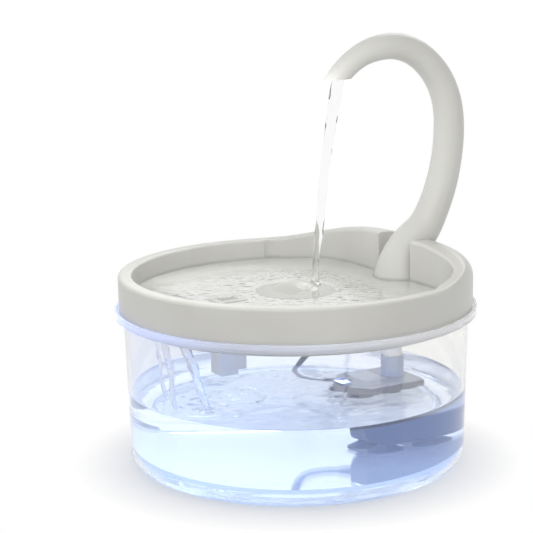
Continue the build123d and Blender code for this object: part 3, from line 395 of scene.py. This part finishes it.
LIT_SIDE = (-0.5, -0.866, 0.0)
LIP_Z, WET_Z = (0.0835, 0.0845), (0.041, 0.043)
LIT_SPAN, LIP_PAINTED_GLOW_SPAN = (-0.07, 0.09), (0.03, 0.11)
WET_TONE = (0.945, 0.98, 1.0, 1)
# Painted light above the water: wall and collar are tinted blue on the side that the pump's lamp faces, and
# warmer on the other side.
WALL_PAINTED_LAMP_TINTS = (0.98, 0.977, 0.955), (0.9, 0.92, 0.98)
LIP_PAINTED_LAMP_TINTS = (0.97, 0.97, 0.98), (0.82, 0.88, 1.0)
LIP_PAINTED_GLOW_TONES = (0.9, 0.9, 1.0), (0.45, 0.52, 1.0)
WALL_CLEAR, LIP_CLEAR = 0.97, 0.7
LIP_PAINTED_GLOW = 0.045, 0.24
nodes, links, shader = opened(tank_plastic)
lit = across(nodes, links, LIT_SIDE, *LIT_SPAN)
on_lip = across(nodes, links, UP, *LIP_Z)
dry = across(nodes, links, UP, *WET_Z)
wall = choose(nodes, links, dry, WET_TONE, ramp(nodes, links, lit, *WALL_PAINTED_LAMP_TINTS), "RGBA")
shade = choose(nodes, links, on_lip, wall, ramp(nodes, links, lit, *LIP_PAINTED_LAMP_TINTS), "RGBA")
links.new(shade, shader.inputs["Base Color"])
links.new(span(nodes, links, on_lip, 0, 1, WALL_CLEAR, LIP_CLEAR), shader.inputs["Transmission Weight"])
# Painted light: the collar glows blue on the side that the pump's lamp faces.
links.new(ramp(nodes, links, lit, *LIP_PAINTED_GLOW_TONES), shader.inputs["Emission Color"])
painted_glow_towards_lamp = span(nodes, links, across(nodes, links, LIT_SIDE, *LIP_PAINTED_GLOW_SPAN), 0, 1, *LIP_PAINTED_GLOW)
painted_lip_glow = combine(nodes, links, "MULTIPLY", painted_glow_towards_lamp, on_lip)
links.new(painted_lip_glow, shader.inputs["Emission Strength"])
give(tank_plastic, "tank")

# %% [markdown]
# The pump is a block of grey ABS with a pale plate on top, on rubber cups. The water and its blue light
# make the lower half look nearly black, which absorption in the water could give, but the tank is shallow
# and everything else in it would darken too. So that darkness is painted shade: the housing is near-black
# below a height and pale above it. Silicone, rubber, carbon, foam and cable jacket are all made by the same
# helper, with another colour, gloss and grain.

# %% Pump, hose and small parts
PUMP_STEP_Z = (0.0255, 0.0275)
PUMP_PAINTED_SHADE, PUMP_HIGH = (0.01, 0.02, 0.055), (0.54, 0.56, 0.58)
pump_plastic = moulded("pump_plastic", (0.4, 0.42, 0.45), 0.42, 1400, 0.00004, 0.15)
# Painted shade: the housing is near-black below this height and pale above it.
two_heights(pump_plastic, PUMP_STEP_Z, PUMP_PAINTED_SHADE, PUMP_HIGH)
nodes, links, shader = opened(pump_plastic)
shader.inputs["Specular IOR Level"].default_value = 0.2
give(pump_plastic, "pump_housing", "pump_volute", "inlet_strainer")
give(moulded("plate_plastic", (0.76, 0.77, 0.78), 0.35), "pump_top_plate")
give(moulded("cuff_silicone", (0.52, 0.57, 0.7), 0.35), "riser_cuff")
give(moulded("hose_silicone", (0.75, 0.77, 0.78), 0.35), "neck_hose")
give(moulded("black_rubber", (0.02, 0.02, 0.022), 0.6), "spigot_seal", "shaft_bushes")
give(moulded("cup_rubber", (0.04, 0.055, 0.1), 0.45), "suction_cups")
give(moulded("carbon", (0.02, 0.02, 0.02), 0.8, 700, 0.0006, 0.5), "filter_carbon")
give(moulded("foam", (0.5, 0.54, 0.58), 0.9, 1500, 0.0005, 0.1), "filter_foam", "inlet_foam")
jacket = moulded("jacket", (0.17, 0.2, 0.28), 0.4)
cable.data.materials.append(jacket)
give(jacket, "cable_gland", "usb_plug_body")
give(moulded("sleeve_plastic", (0.14, 0.17, 0.25), 0.45), "cable_sleeve")
give(moulded("tie_plastic", (0.04, 0.04, 0.042), 0.5), "cable_tie")

# %% [markdown]
# The plug's shell is pressed steel, and the motor is a laminated iron yoke round a copper winding, with a
# ferrite magnet on a ceramic shaft. Most of it is hidden, so modelled scratches or single wires would be
# wasted. A metallic shader with noise stretched along one direction gives the drawn look of all three
# metals.

# %% Metal and motor
BRUSH_SCALE, BRUSH_STRETCH = 400.0, (1, 12, 12)
BRUSH_DARK, BRUSH_GLOSSY, BRUSH_DULL = 0.85, 0.06, 0.08


def metal(name, colour, rough):
    """Brushed metal: streaks in colour and gloss."""
    material, nodes, links, shader = new_material(name)
    brushed = object_noise(nodes, links, BRUSH_SCALE, DRIFT_DETAIL, BRUSH_STRETCH)
    dark = [c * BRUSH_DARK for c in colour]
    shader.inputs["Metallic"].default_value = 1.0
    links.new(ramp(nodes, links, brushed, dark, colour, NOISE_LOW, NOISE_HIGH), shader.inputs["Base Color"])
    gloss = span(nodes, links, brushed, NOISE_LOW, NOISE_HIGH, rough - BRUSH_GLOSSY, rough + BRUSH_DULL)
    links.new(gloss, shader.inputs["Roughness"])
    return material


give(metal("plug_steel", (0.62, 0.61, 0.6), 0.3), "usb_plug_shell")
give(metal("yoke_iron", (0.4, 0.39, 0.38), 0.45), "motor_yoke")
give(metal("coil_copper", (0.72, 0.36, 0.2), 0.35), "motor_coil")
give(moulded("magnet_ferrite", (0.05, 0.05, 0.055), 0.5), "rotor_magnet")
give(moulded("wheel_plastic", (0.66, 0.68, 0.7), 0.4), "impeller_wheel")
give(moulded("shaft_ceramic", (0.8, 0.78, 0.74), 0.2), "rotor_shaft")
give(moulded("board_green", (0.04, 0.16, 0.07), 0.5), "led_board")

# %% [markdown]
# The pump's lamp is a small bar of light behind a blue window. A real lamp behind the window would need
# many samples to shine through it cleanly, so the window glows by itself. A spherical gradient, moved to
# its middle, tilted and stretched to the bar's size, gives the bright core and its halo.

# %% Lamp window
SPOT_LIFT, SPOT_TILT = 0.0008, 0.27
SPOT_HALF = (0.0082, 0.02, 0.0023)
HALO_TONE, CORE_TONE = (0.12, 0.25, 1.0), (0.75, 0.87, 1.0)
HALO_GLOW, CORE_GLOW = 0.25, 4.0
TONE_SPAN, GLOW_SPAN = (0.1, 0.55), (0.1, 0.6)  # share of the way to the core


def vector_step(nodes, links, operation, vector, amount):
    """Shift or stretch of a place."""
    node = nodes.new("ShaderNodeVectorMath")
    node.operation = operation
    node.inputs[1].default_value = amount
    links.new(vector, node.inputs[0])
    return node.outputs["Vector"]


low, high = (Vector(corner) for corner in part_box("led_window"))
LAMP_MID = (low + high) / 2
lamp, nodes, links, shader = new_material("lamp_window")
from_middle = vector_step(nodes, links, "SUBTRACT", object_place(nodes), LAMP_MID + Vector((0, 0, SPOT_LIFT)))
tilt = nodes.new("ShaderNodeVectorRotate")
tilt.rotation_type = "Y_AXIS"
tilt.inputs["Angle"].default_value = SPOT_TILT
links.new(from_middle, tilt.inputs["Vector"])
in_bar = vector_step(nodes, links, "MULTIPLY", tilt.outputs["Vector"], [1 / half for half in SPOT_HALF])
spot = nodes.new("ShaderNodeTexGradient")
spot.gradient_type = "SPHERICAL"
links.new(in_bar, spot.inputs["Vector"])
tone = ramp(nodes, links, spot.outputs["Fac"], HALO_TONE, CORE_TONE, *TONE_SPAN)
links.new(tone, shader.inputs["Emission Color"])
strength = span(nodes, links, spot.outputs["Fac"], *GLOW_SPAN, HALO_GLOW, CORE_GLOW)
links.new(strength, shader.inputs["Emission Strength"])
shader.inputs["Base Color"].default_value = (0.3, 0.4, 0.7, 1)
shader.inputs["Roughness"].default_value = 0.25
give(lamp, "led_window")
print("lamp window's middle", [round(x / MM, 1) for x in LAMP_MID])

# %% [markdown]
# Clean water has almost no colour of its own, and the stream from the neck and the bubbles are just that.
# The bowl's film is slightly cloudy with fine air, and the streams that fall back into the tank are full
# of it, so both are less clear. The tank's water catches the lamp's blue light. A scattering volume would
# show that best, but it needs very many samples. A weak glow on the water's skin comes close to it:
# blue towards the lamp, pale on the far wall.

# %% Water finishes
WATER_IOR = 1.333
WATER_PASSES = (0.98, 0.985, 0.98)
water = clear("water", (0.95, 0.955, 0.95), WATER_IOR, 0.0, WATER_PASSES)
shallow_water = clear("shallow_water", (0.96, 0.965, 0.96), WATER_IOR, 0.03, WATER_PASSES, 0.04)
foamy_water = clear("foamy_water", (0.97, 0.98, 1.0), WATER_IOR, 0.08, WATER_PASSES, 0.22)
lit_water = clear("lit_water", (0.97, 0.985, 1.0), WATER_IOR, 0.0, (0.95, 0.98, 1.0))
print("water finishes", [finish.name for finish in (water, shallow_water, foamy_water, lit_water)])

# %% Glow of the tank's water
NEAR_SIDE = (0.866, -0.5, 0.0)
LAMP_TINT, PUMP_TINT = (0.38, 0.56, 1.0, 1), (0.26, 0.46, 1.15, 1)
FAR_TINT, FLOOR_TINT = (0.95, 0.95, 1.0, 1), (0.55, 0.68, 1.0, 1)
FLOOR_GLOW, WALL_GLOW, TOP_GLOW, GUTTER_GLOW = (0.06, 0.2), (0.14, 0.22), (0.04, 0.2), 0.18
GLOW_PLATE_Z, GLOW_WALL_Z, GLOW_TOP_Z = (0.006, 0.0076), (0.0085, 0.0095), (0.0414, 0.0418)
SHADE_TINT, LIT_TINT = (0.89, 0.905, 0.95, 1), (0.925, 0.965, 1.0, 1)
NEAR_SPAN, BLUE_SPAN = (-0.03, 0.03), (-0.05, 0.05)
TOP_SPAN, BODY_SPAN = (-0.06, 0.08), (-0.03, 0.05)


def water_glow(nodes, links):
    """Colour and strength of the lamp's glow: blue at the near wall and on top, pale at the far wall."""
    near = across(nodes, links, NEAR_SIDE, *NEAR_SPAN)
    on_plate, on_wall, on_top = (
        across(nodes, links, UP, *heights) for heights in (GLOW_PLATE_Z, GLOW_WALL_Z, GLOW_TOP_Z)
    )
    blue = choose(nodes, links, across(nodes, links, LIT_SIDE, *BLUE_SPAN), PUMP_TINT, LAMP_TINT, "RGBA")
    wall_colour = choose(nodes, links, near, FAR_TINT, blue, "RGBA")
    low_colour = choose(nodes, links, on_wall, FLOOR_TINT, wall_colour, "RGBA")
    colour = choose(nodes, links, on_top, low_colour, blue, "RGBA")
    floor_glow = choose(nodes, links, near, *FLOOR_GLOW)
    wall_glow = choose(nodes, links, near, *WALL_GLOW)
    top_glow = choose(nodes, links, across(nodes, links, LIT_SIDE, *TOP_SPAN), *TOP_GLOW)
    low_glow = choose(nodes, links, on_wall, floor_glow, wall_glow)
    strength = choose(nodes, links, on_plate, GUTTER_GLOW, choose(nodes, links, on_top, low_glow, top_glow))
    return colour, strength


nodes, links, shader = opened(lit_water)
colour, strength = water_glow(nodes, links)
links.new(colour, shader.inputs["Emission Color"])
links.new(strength, shader.inputs["Emission Strength"])
# Painted shade and light: the water's tint is darker on the side away from the pump's lamp and paler towards
# it.
painted_shade_tint = choose(nodes, links, across(nodes, links, LIT_SIDE, *BODY_SPAN), SHADE_TINT, LIT_TINT, "RGBA")
links.new(painted_shade_tint, shader.inputs["Base Color"])
print(lit_water.name, "has", len(nodes), "nodes")

# %% [markdown]
# The tank's water is a closed body with its own surface. A mere sheet on top would leave the tank empty
# below it, and a body that ends just short of the wall would show a mirror-like gap of air. So it reaches
# a little into the wall, and light goes from the plastic straight into the water. Its outline, with the
# step of the tank's floor and the raised edge that wets the wall, is turned about the axis by the spin
# tool. The ripples are then pressed into its top, ring after ring.


# %% Helpers for bodies of water
MERGE_WITHIN = 0.000004  # metres


def start_fresh():
    """Leave edit mode with nothing selected."""
    if bpy.context.object and bpy.context.object.mode != "OBJECT":
        bpy.ops.object.mode_set(mode="OBJECT")
    bpy.ops.object.select_all(action="DESELECT")


def take(body):
    """Select one object alone and make it the active one."""
    start_fresh()
    body.select_set(True)
    bpy.context.view_layer.objects.active = body


def spun(name, outline, steps):
    """Closed body turned about Z from an outline of (radius, height) in millimetres."""
    mesh = bpy.data.meshes.new(name)
    corners = [(r * MM, 0, z * MM) for r, z in outline]
    mesh.from_pydata(corners, [(i, i + 1) for i in range(len(outline) - 1)], [])
    body = bpy.data.objects.new(name, mesh)
    bpy.context.scene.collection.objects.link(body)
    take(body)
    bpy.ops.object.mode_set(mode="EDIT")
    bpy.ops.mesh.select_all(action="SELECT")
    bpy.ops.mesh.spin(steps=steps, angle=math.tau, center=(0, 0, 0), axis=UP)
    bpy.ops.mesh.select_all(action="SELECT")
    bpy.ops.mesh.remove_doubles(threshold=MERGE_WITHIN)
    bpy.ops.mesh.normals_make_consistent(inside=False)
    bpy.ops.object.mode_set(mode="OBJECT")
    return body


def smooth(body, crisp_from=None):
    """Smooth shading. Edges that turn by more than crisp_from degrees stay crisp."""
    take(body)
    if crisp_from is None:
        bpy.ops.object.shade_smooth()
    else:
        bpy.ops.object.shade_smooth_by_angle(angle=math.radians(crisp_from))


start_fresh()

# %% Outline of the tank's water
WATER_Z = 42.6
PLATE_Z, GUTTER_Z = 7.6, 2.0
PLATE_MID_R, PLATE_R, SLOPE_FOOT_R = 40, 76.43, 82.03
INNER_FOOT_R, INNER_SLOPE = 91.2, 2.3 / 84.2  # the wall leans out by 2.3 mm over 84.2 mm of height
CORNER_R, CORNER_STEPS = 7.0, 8
PROUD = 0.12  # how far the water reaches into floor and wall
SLOPE_PROUD = 0.4 * PROUD  # the same, sideways, on the slope beside the plate
PLATE_ROUND = 1
WALL_HEIGHTS = (18, 26, 34, WATER_Z - 1.5)
WET_EDGE = [(0, 0.9), (0.9, 0.35), (2.2, 0)]  # inwards from the wall, and up
TOP_RINGS, TOP_START, TOP_STEP = 92, 3.5, 0.96


def tank_wall(z):
    """Radius of the water where it wets the wall."""
    return INNER_FOOT_R + INNER_SLOPE * (z - GUTTER_Z) + PROUD


def tank_outline():
    """Half section of the tank's water, from the middle of the floor to the middle of the top."""
    floor, plate = GUTTER_Z - PROUD, PLATE_Z - PROUD
    plate_r = PLATE_R - SLOPE_PROUD
    outline = [(r, plate) for r in (0, PLATE_MID_R, plate_r - PLATE_ROUND, plate_r)]
    outline += [(plate_r + PLATE_ROUND, plate - PLATE_ROUND), (SLOPE_FOOT_R - SLOPE_PROUD, floor)]
    for i in range(CORNER_STEPS + 1):
        a = math.radians(-90 + 90 * i / CORNER_STEPS)
        r = tank_wall(GUTTER_Z) - CORNER_R + CORNER_R * math.cos(a)
        outline.append((r, floor + CORNER_R * (1 + math.sin(a))))
    outline += [(tank_wall(z), z) for z in WALL_HEIGHTS]
    rim = tank_wall(WATER_Z)
    outline += [(rim - inwards, WATER_Z + rise) for inwards, rise in WET_EDGE]
    outline += [(rim - TOP_START - TOP_STEP * i, WATER_Z) for i in range(TOP_RINGS)]
    return outline + [(0, WATER_Z)]


print("outline has", len(tank_outline()), "points, and the wall is at", round(tank_wall(WATER_Z), 2))

# %% Tank water
SPLASHES = [(22.0, -69.0, 9.0), (8.0, -43.0, 12.0), (2.0, -62.0, 7.0)]  # x, y, wave
RING_HEIGHT, RING_REACH = 0.28, 15
SWELL = [(0.28, 14, 3.0), (0.12, 5, 9.0)]  # height, width, slice of the noise
STILL_EDGE, EDGE_FADE = 2, 6
TOP_BAND = 0.2  # a vertex less than this below the level belongs to the top
TURNS = 256
CRISP_FROM = 40


def rings(distance, wave):
    """Height of ring waves round a splash."""
    return RING_HEIGHT * math.cos(math.tau * distance / wave) * math.exp(-distance / RING_REACH)


def tank_water():
    """Water in the tank, rippled round the splashes."""
    body = spun("tank_water", tank_outline(), TURNS)
    reach = tank_wall(WATER_Z) - STILL_EDGE
    for vertex in body.data.vertices:
        x, y, z = (c / MM for c in vertex.co)
        if z > WATER_Z - TOP_BAND and math.hypot(x, y) < reach:
            fade = min(1, (reach - math.hypot(x, y)) / EDGE_FADE)
            rise = sum(rings(math.hypot(x - a, y - b), wave) for a, b, wave in SPLASHES)
            rise += sum(height * noise.noise(Vector((x, y, cut)) / width) for height, width, cut in SWELL)
            vertex.co.z += fade * rise * MM
    smooth(body, CRISP_FROM)
    body.data.materials.append(lit_water)
    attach(body, "tank")
    return body


tank_pool = tank_water()
print("tank water has", len(tank_pool.data.polygons), "faces")

# %% [markdown]
# The bowl's water is a shallow film that the falling stream keeps restless, and it swells over the dome
# where the stream lands. The bowl is round but has a flat rear face below the neck. A disc cut to that
# shape would have large, uneven faces, so a round body is spun first, with its radius as a share of the
# bowl's, and each vertex is then moved out to the wall. Two sizes of noise make the waves, and a
# paraboloid lifts the film.

# %% Shape of the bowl's water
BOWL_Z, BOWL_FLOOR_Z = 97.5, 91.2
BOWL_R, FACE_Y, BLEND = 90.4, 65.5, 5.0
SHOULDER_HALF, SHOULDER_EASE = 72.0, 12.0  # degrees from the rear
BOWL_FOOT = [(0, 0), (60, 0), (99, 0), (100, 0.8)]  # hundredths of the bowl's radius, and up
BOWL_WET_EDGE = [(100, 0.6), (99, 0.15)]


def bowl_radius(beta):
    """Bowl wall at an angle from the rear: a flat rear face blended into the round bowl."""
    if abs(beta) >= SHOULDER_HALF:
        return BOWL_R
    flat = FACE_Y / max(math.cos(math.radians(beta)), 0.2)
    blended = -BLEND * math.log(math.exp(-flat / BLEND) + math.exp(-BOWL_R / BLEND))
    return BOWL_R + (blended - BOWL_R) * min(1.0, (SHOULDER_HALF - abs(beta)) / SHOULDER_EASE)


def bowl_outline():
    """Half section of the bowl's water, with the radius in hundredths of the bowl's."""
    outline = [(share, BOWL_FLOOR_Z + rise) for share, rise in BOWL_FOOT]
    outline += [(share, BOWL_Z + rise) for share, rise in BOWL_WET_EDGE]
    return outline + [(98 - i, BOWL_Z) for i in range(98)] + [(0, BOWL_Z)]


print("bowl's wall at the rear and at the side", round(bowl_radius(0), 1), round(bowl_radius(90), 1))

# %% Bowl water
INTO_WALL = 1.6
DOME_R, DOME_FADE_IN, DOME_FADE = 22.0, 4, 8
FILM_TOP_Z, FILM_DROP = 101.3, 9.6
FILM_ROUGH, FILM_WIDTH, FILM_CUT = 0.25, 4, 5.0  # height, width, slice of the noise
CALM_SHARE, CALM_FADE = 0.985, 0.04
BOWL_TURNS, BOWL_BAND = 360, 0.3
CHOP = [(0.11, 3.2, (0, 0, 0)), (0.07, 1.6, (2, 9, 4))]  # height, width, place in the noise
WARP, WARP_WIDTH = 3.0, 9
LIVELY, LIVELY_REACH, LIVELY_SLANT = 0.7, 90, 0.6


def chop(x, y):
    """Small waves, livelier towards the neck."""
    place = Vector((x, y, 0.0))
    aside = place / WARP_WIDTH
    warp = place + WARP * Vector((noise.noise(aside), noise.noise(aside + Vector((7, 3, 1))), 0))
    lively = 1.0 + LIVELY * min(1, max(0, (y - LIVELY_SLANT * x) / LIVELY_REACH))
    return lively * sum(height * noise.noise(warp / width + Vector(start)) for height, width, start in CHOP)


def bowl_water():
    """Water in the bowl, choppy, and swollen over the dome."""
    body = spun("bowl_water", bowl_outline(), BOWL_TURNS)
    for vertex in body.data.vertices:
        x, y, z = (c / MM for c in vertex.co)
        radius = math.hypot(x, y)
        share = radius / 100
        limit = bowl_radius(math.degrees(math.atan2(x, y))) + INTO_WALL
        if radius > 0.01:
            x, y = x * limit * share / radius, y * limit * share / radius
        if z > BOWL_Z - BOWL_BAND and share < CALM_SHARE:
            r = math.hypot(x, y)
            off_dome = min(1, max(0, (r - DOME_R + DOME_FADE_IN) / DOME_FADE))
            rise = chop(x, y) * off_dome * min(1, (CALM_SHARE - share) / CALM_FADE)
            film = FILM_TOP_Z - FILM_DROP * (r / DOME_R) ** 2
            z = max(z + rise, film + FILM_ROUGH * noise.noise(Vector((x, y, FILM_CUT)) / FILM_WIDTH))
        vertex.co = (x * MM, y * MM, z * MM)
    smooth(body)
    body.data.materials.append(shallow_water)
    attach(body, "tray")
    return body


bowl_pool = bowl_water()
print("bowl water has", len(bowl_pool.data.polygons), "faces")

# %% [markdown]
# Falling water is a strand that narrows as it speeds up and wavers as it falls. A fluid simulation would
# give its breaks and drops, but it is slow and never twice the same. So each strand is a curve with a
# radius at every point, turned into a mesh and then roughened by a coarse and a fine noise, because a
# smooth tube would look like a glass rod. One strand falls from the neck, and three run back from the
# bowl's drain slots.

# %% Courses of the falling water
SPOUT_STREAM = [
    (0, 29.6, 214.0, 3.2), (0, 28.6, 209.5, 3.5), (0, 26.0, 197.0, 3.3), (0, 23.5, 183.9, 2.9),
    (0, 20.1, 164.8, 2.5), (0, 18.2, 149.0, 2.3), (0, 16.5, 133.1, 2.2), (0, 15.2, 125.0, 2.4),
    (0, 14.2, 117.8, 1.9), (0, 13.4, 108.0, 1.7), (0, 12.9, 100.0, 2.1), (0, 12.6, 98.0, 3.5),
]
DRAIN_STREAMS = {
    "drain_stream_a": [
        (6, -85, 90, 2.4), (6.5, -85, 82, 2.2), (8.0, -82.5, 70, 1.7), (8.8, -81, 58, 1.3),
        (9, -80, 42.4, 1.0),
    ],
    "drain_stream_b": [
        (24, -83, 90, 2.8), (24, -81, 80, 2.6), (24.8, -76, 68, 2.3), (22, -71.5, 55, 2.0),
        (21, -67, 42.4, 1.8),
    ],
    "drain_stream_c": [
        (-14, -82, 90, 1.4), (-13, -80, 78, 1.1), (-12, -78, 62, 0.9), (-12, -76, 42.4, 0.8),
    ],
}
print("drain streams", list(DRAIN_STREAMS))

# %% Falling water
WOBBLE_COARSE, WOBBLE_FINE = (3, 9), (2, 4)  # width and length of the noise
FINE_SHARE = 0.6


def waver(place, across_mm, along_mm, start=(0, 0, 0)):
    """Noise that is longer along the fall than across it."""
    scaled = Vector((place.x / across_mm, place.y / across_mm, place.z / along_mm))
    return noise.noise_vector(scaled + Vector(start))


def strand(name, points, body, wobble, material):
    """Strand of water through (x, y, z, radius) points in millimetres."""
    take(nurbs(name, [p[:3] for p in points], [p[3] for p in points], around=6, along=14))
    bpy.ops.object.convert(target="MESH")
    piece = bpy.context.object
    for vertex in piece.data.vertices:
        place = vertex.co / MM
        vertex.co += wobble * MM * waver(place, *WOBBLE_COARSE)
        vertex.co += FINE_SHARE * wobble ** 2 * MM * waver(place, *WOBBLE_FINE, (5, 1, 3))
    smooth(piece)
    piece.data.materials.append(material)
    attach(piece, body)
    print(name, "has", len(piece.data.polygons), "faces")
    return piece


strand("spout_stream", SPOUT_STREAM, "spout", 0.35, water)
for name, points in DRAIN_STREAMS.items():
    strand(name, points, "tray", 0.9, foamy_water)

# %% [markdown]
# Where the streams land, air is dragged under and comes up again as a loose ring of bubbles round one
# splash and a patch beside another. A bump in the water's finish would not do, since each bubble stands
# proud of the water and bends what is behind it. So the bubbles are small spheres, dented a little and
# nearly all flattened, and they make one mesh.

# %% One mesh of bubbles
BUBBLE_DENT, DENT_WIDTH = 0.06, 0.8
FLATTENED = (0.7, 0.95)
random.seed(7)


def add_bubble(x, y, z, r):
    """Small sphere, added to what is being edited."""
    bpy.ops.mesh.primitive_ico_sphere_add(subdivisions=2, radius=r * MM, location=(x * MM, y * MM, z * MM))


def bubbles(name, places):
    """One mesh of bubbles at (x, y, z, radius) in millimetres."""
    start_fresh()
    add_bubble(*places[0])
    cluster = bpy.context.object
    cluster.name = name
    bpy.ops.object.transform_apply(location=True, rotation=True, scale=True)
    bpy.ops.object.mode_set(mode="EDIT")
    for spot_and_size in places[1:]:
        bpy.ops.mesh.select_all(action="DESELECT")
        add_bubble(*spot_and_size)
        bpy.ops.transform.resize(value=(1, 1, random.uniform(*FLATTENED)))
    bpy.ops.object.mode_set(mode="OBJECT")
    for vertex in cluster.data.vertices:
        vertex.co += BUBBLE_DENT * MM * noise.noise_vector(vertex.co / MM / DENT_WIDTH)
    smooth(cluster)
    cluster.data.materials.append(water)
    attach(cluster, "tank")
    return cluster


print("bubbles are flattened to", FLATTENED)

# %% Bubbles
RING_COUNT, RING_MIDDLE, RING_R, RING_SPREAD = 46, (8, -43), 15.5, 1.3
PATCH_COUNT, PATCH_MIDDLE, PATCH_R = 26, (20, -66), (1, 8)
RING_Z, RING_SIZES = WATER_Z + 0.3, (0.35, 1.0)
PATCH_Z, PATCH_SIZES = WATER_Z + 0.4, (0.3, 0.9)


def point_round(middle, r, a):
    """Place at a distance and an angle from a middle."""
    return middle[0] + r * math.cos(a), middle[1] + r * math.sin(a)


places = []
for i in range(RING_COUNT):
    a = random.uniform(0, math.tau)
    r = random.gauss(RING_R, RING_SPREAD)
    places.append((*point_round(RING_MIDDLE, r, a), RING_Z, random.uniform(*RING_SIZES)))
for i in range(PATCH_COUNT):
    a = random.uniform(0, math.tau)
    r = random.uniform(*PATCH_R)
    places.append((*point_round(PATCH_MIDDLE, r, a), PATCH_Z, random.uniform(*PATCH_SIZES)))
foam_ring = bubbles("surface_bubbles", places)
print(len(places), "bubbles with", len(foam_ring.data.polygons), "faces")

# %% [markdown]
# The fountain stands on a white floor without an edge. More light would make a floor white, but the tray
# would clip to white as well. So the floor has a glowing skin that only the camera, mirrors and clear
# things see: it starts beyond the foot, so that the contact shadow stays, and comes closer in for what is
# seen through the tank's wall.

# %% Finish of the floor
SHADOW_REACH, SHADOW_CORE = (0.092, 0.125), 0.3
THROUGH_REACH = (0.07, 0.09)


def seen_rays(nodes, links):
    """1 for rays that show the background: straight, mirrored or through something clear."""
    rays = nodes.new("ShaderNodeLightPath").outputs
    direct = combine(nodes, links, "MAXIMUM", rays["Is Camera Ray"], rays["Is Transmission Ray"])
    return combine(nodes, links, "MAXIMUM", direct, rays["Is Glossy Ray"])


floor_material, nodes, links, shader = new_material("floor_white")
shader.inputs["Base Color"].default_value = (0.98, 0.98, 0.98, 1)
shader.inputs["Roughness"].default_value = 0.8
length = nodes.new("ShaderNodeVectorMath")
length.operation = "LENGTH"
links.new(object_place(nodes), length.inputs[0])
distance = length.outputs["Value"]
away = span(nodes, links, distance, *SHADOW_REACH, SHADOW_CORE)
seen = combine(nodes, links, "MULTIPLY", away, seen_rays(nodes, links))
clear_rays = nodes.new("ShaderNodeLightPath").outputs["Is Transmission Ray"]
through = combine(nodes, links, "MULTIPLY", span(nodes, links, distance, *THROUGH_REACH), clear_rays)
share = combine(nodes, links, "MAXIMUM", seen, through)
white = nodes.new("ShaderNodeEmission")
surface = blend(nodes, links, share, shader.outputs["BSDF"], white.outputs["Emission"])
links.new(surface, nodes["Material Output"].inputs["Surface"])
print(floor_material.name, "has", len(nodes), "nodes")

# %% Floor
FLOOR_Z, FLOOR_SIZE = -0.0002, 8
start_fresh()
bpy.ops.mesh.primitive_plane_add(size=FLOOR_SIZE, location=(0, 0, FLOOR_Z))
floor = bpy.context.object
floor.name = "floor"
floor.data.materials.append(floor_material)
print("floor", FLOOR_SIZE, "m wide")

# %% [markdown]
# The sky is the main light: white and even all round, like the walls of a bright room. A picture of a
# room would put its own colours into the plastic. The sky is weaker overhead than at the horizon, so that
# the flat tops don't clip to white, and the camera, mirrors and clear things see plain white instead.

# %% Sky
WHITE = (1, 1, 1, 1)
HORIZON_LIGHT, ZENITH_LIGHT = 0.84, 0.34
world = bpy.data.worlds.new("studio")
bpy.context.scene.world = world
world.use_nodes = True
nodes, links = world.node_tree.nodes, world.node_tree.links
sky = nodes["Background"]
sky.inputs["Color"].default_value = WHITE
height = nodes.new("ShaderNodeSeparateXYZ")
links.new(nodes.new("ShaderNodeTexCoord").outputs["Generated"], height.inputs["Vector"])
links.new(span(nodes, links, height.outputs["Z"], 0, 1, HORIZON_LIGHT, ZENITH_LIGHT), sky.inputs["Strength"])
white = nodes.new("ShaderNodeBackground")
white.inputs["Color"].default_value = WHITE
white.inputs["Strength"].default_value = 1.0
backdrop = seen_rays(nodes, links)
surface = blend(nodes, links, backdrop, sky.outputs["Background"], white.outputs["Background"])
links.new(surface, nodes["World Output"].inputs["Surface"])
print("sky from", HORIZON_LIGHT, "at the horizon to", ZENITH_LIGHT, "overhead")

# %% [markdown]
# A large soft lamp above the camera and one from behind give the plastic its soft highlights and the
# clear wall its bright edges. Small lamps add what few bounces of light leave out: light that the water
# throws back on bowl, dome and riser, and the blue of the pump's lamp in the tank and on the filter's
# box. They are hidden from the camera, from mirrors and through clear things, so that only what they
# light is seen. The plain view transform keeps each colour about as it is written.


# %% Lamps
def area_lamp(name, place, target, size, watts, colour=(1, 1, 1)):
    """Round lamp at a place, turned to a target."""
    lamp = bpy.data.lights.new(name, "AREA")
    lamp.shape = "DISK"
    lamp.size = size
    lamp.energy = watts
    lamp.color = colour
    holder = bpy.data.objects.new(name, lamp)
    bpy.context.scene.collection.objects.link(holder)
    holder.location = place
    holder.rotation_euler = (Vector(target) - Vector(place)).to_track_quat("-Z", "Y").to_euler()
    print(name, watts, "W")
    return holder


BODY_MIDDLE = (0, 0, 0.1)
HIDDEN_LAMPS = (  # name, place, target, size, watts, colour
    ("bowl_fill", (0.0, -0.055, 0.19), (0.0, -0.02, 0.1), 0.15, 0.06, (1.0, 1.0, 1.0)),
    ("side_fill", (0.06, -0.07, 0.24), (-0.03, 0.05, 0.1), 0.16, 0.08, (1.0, 1.0, 1.0)),
    ("tank_glow", (-0.008, -0.04, 0.079), (-0.008, -0.04, 0.0), 0.09, 0.012, (0.9, 0.95, 1.0)),
    ("lamp_glow", (-0.004, 0.022, 0.030), (-0.05, -0.08, 0.01), 0.012, 0.003, (0.42, 0.62, 1.0)),
    ("box_glow", (0.04, -0.07, 0.055), (0.0, -0.043, 0.072), 0.02, 0.008, (0.22, 0.38, 1.0)),
    ("riser_glow", (0.05, 0.02, 0.055), (0.0, 0.064, 0.058), 0.03, 0.008, (1.0, 0.97, 0.97)),
)
area_lamp("softbox", (0.83, -0.6, 0.9), BODY_MIDDLE, 1.0, 3.3)
area_lamp("back_light", (-0.7, 0.9, 1.0), BODY_MIDDLE, 0.8, 3.0)
for row in HIDDEN_LAMPS:
    inner = area_lamp(*row)
    inner.visible_camera = False
    inner.visible_transmission = False
    inner.visible_glossy = False
bpy.context.scene.view_settings.view_transform = "Standard"
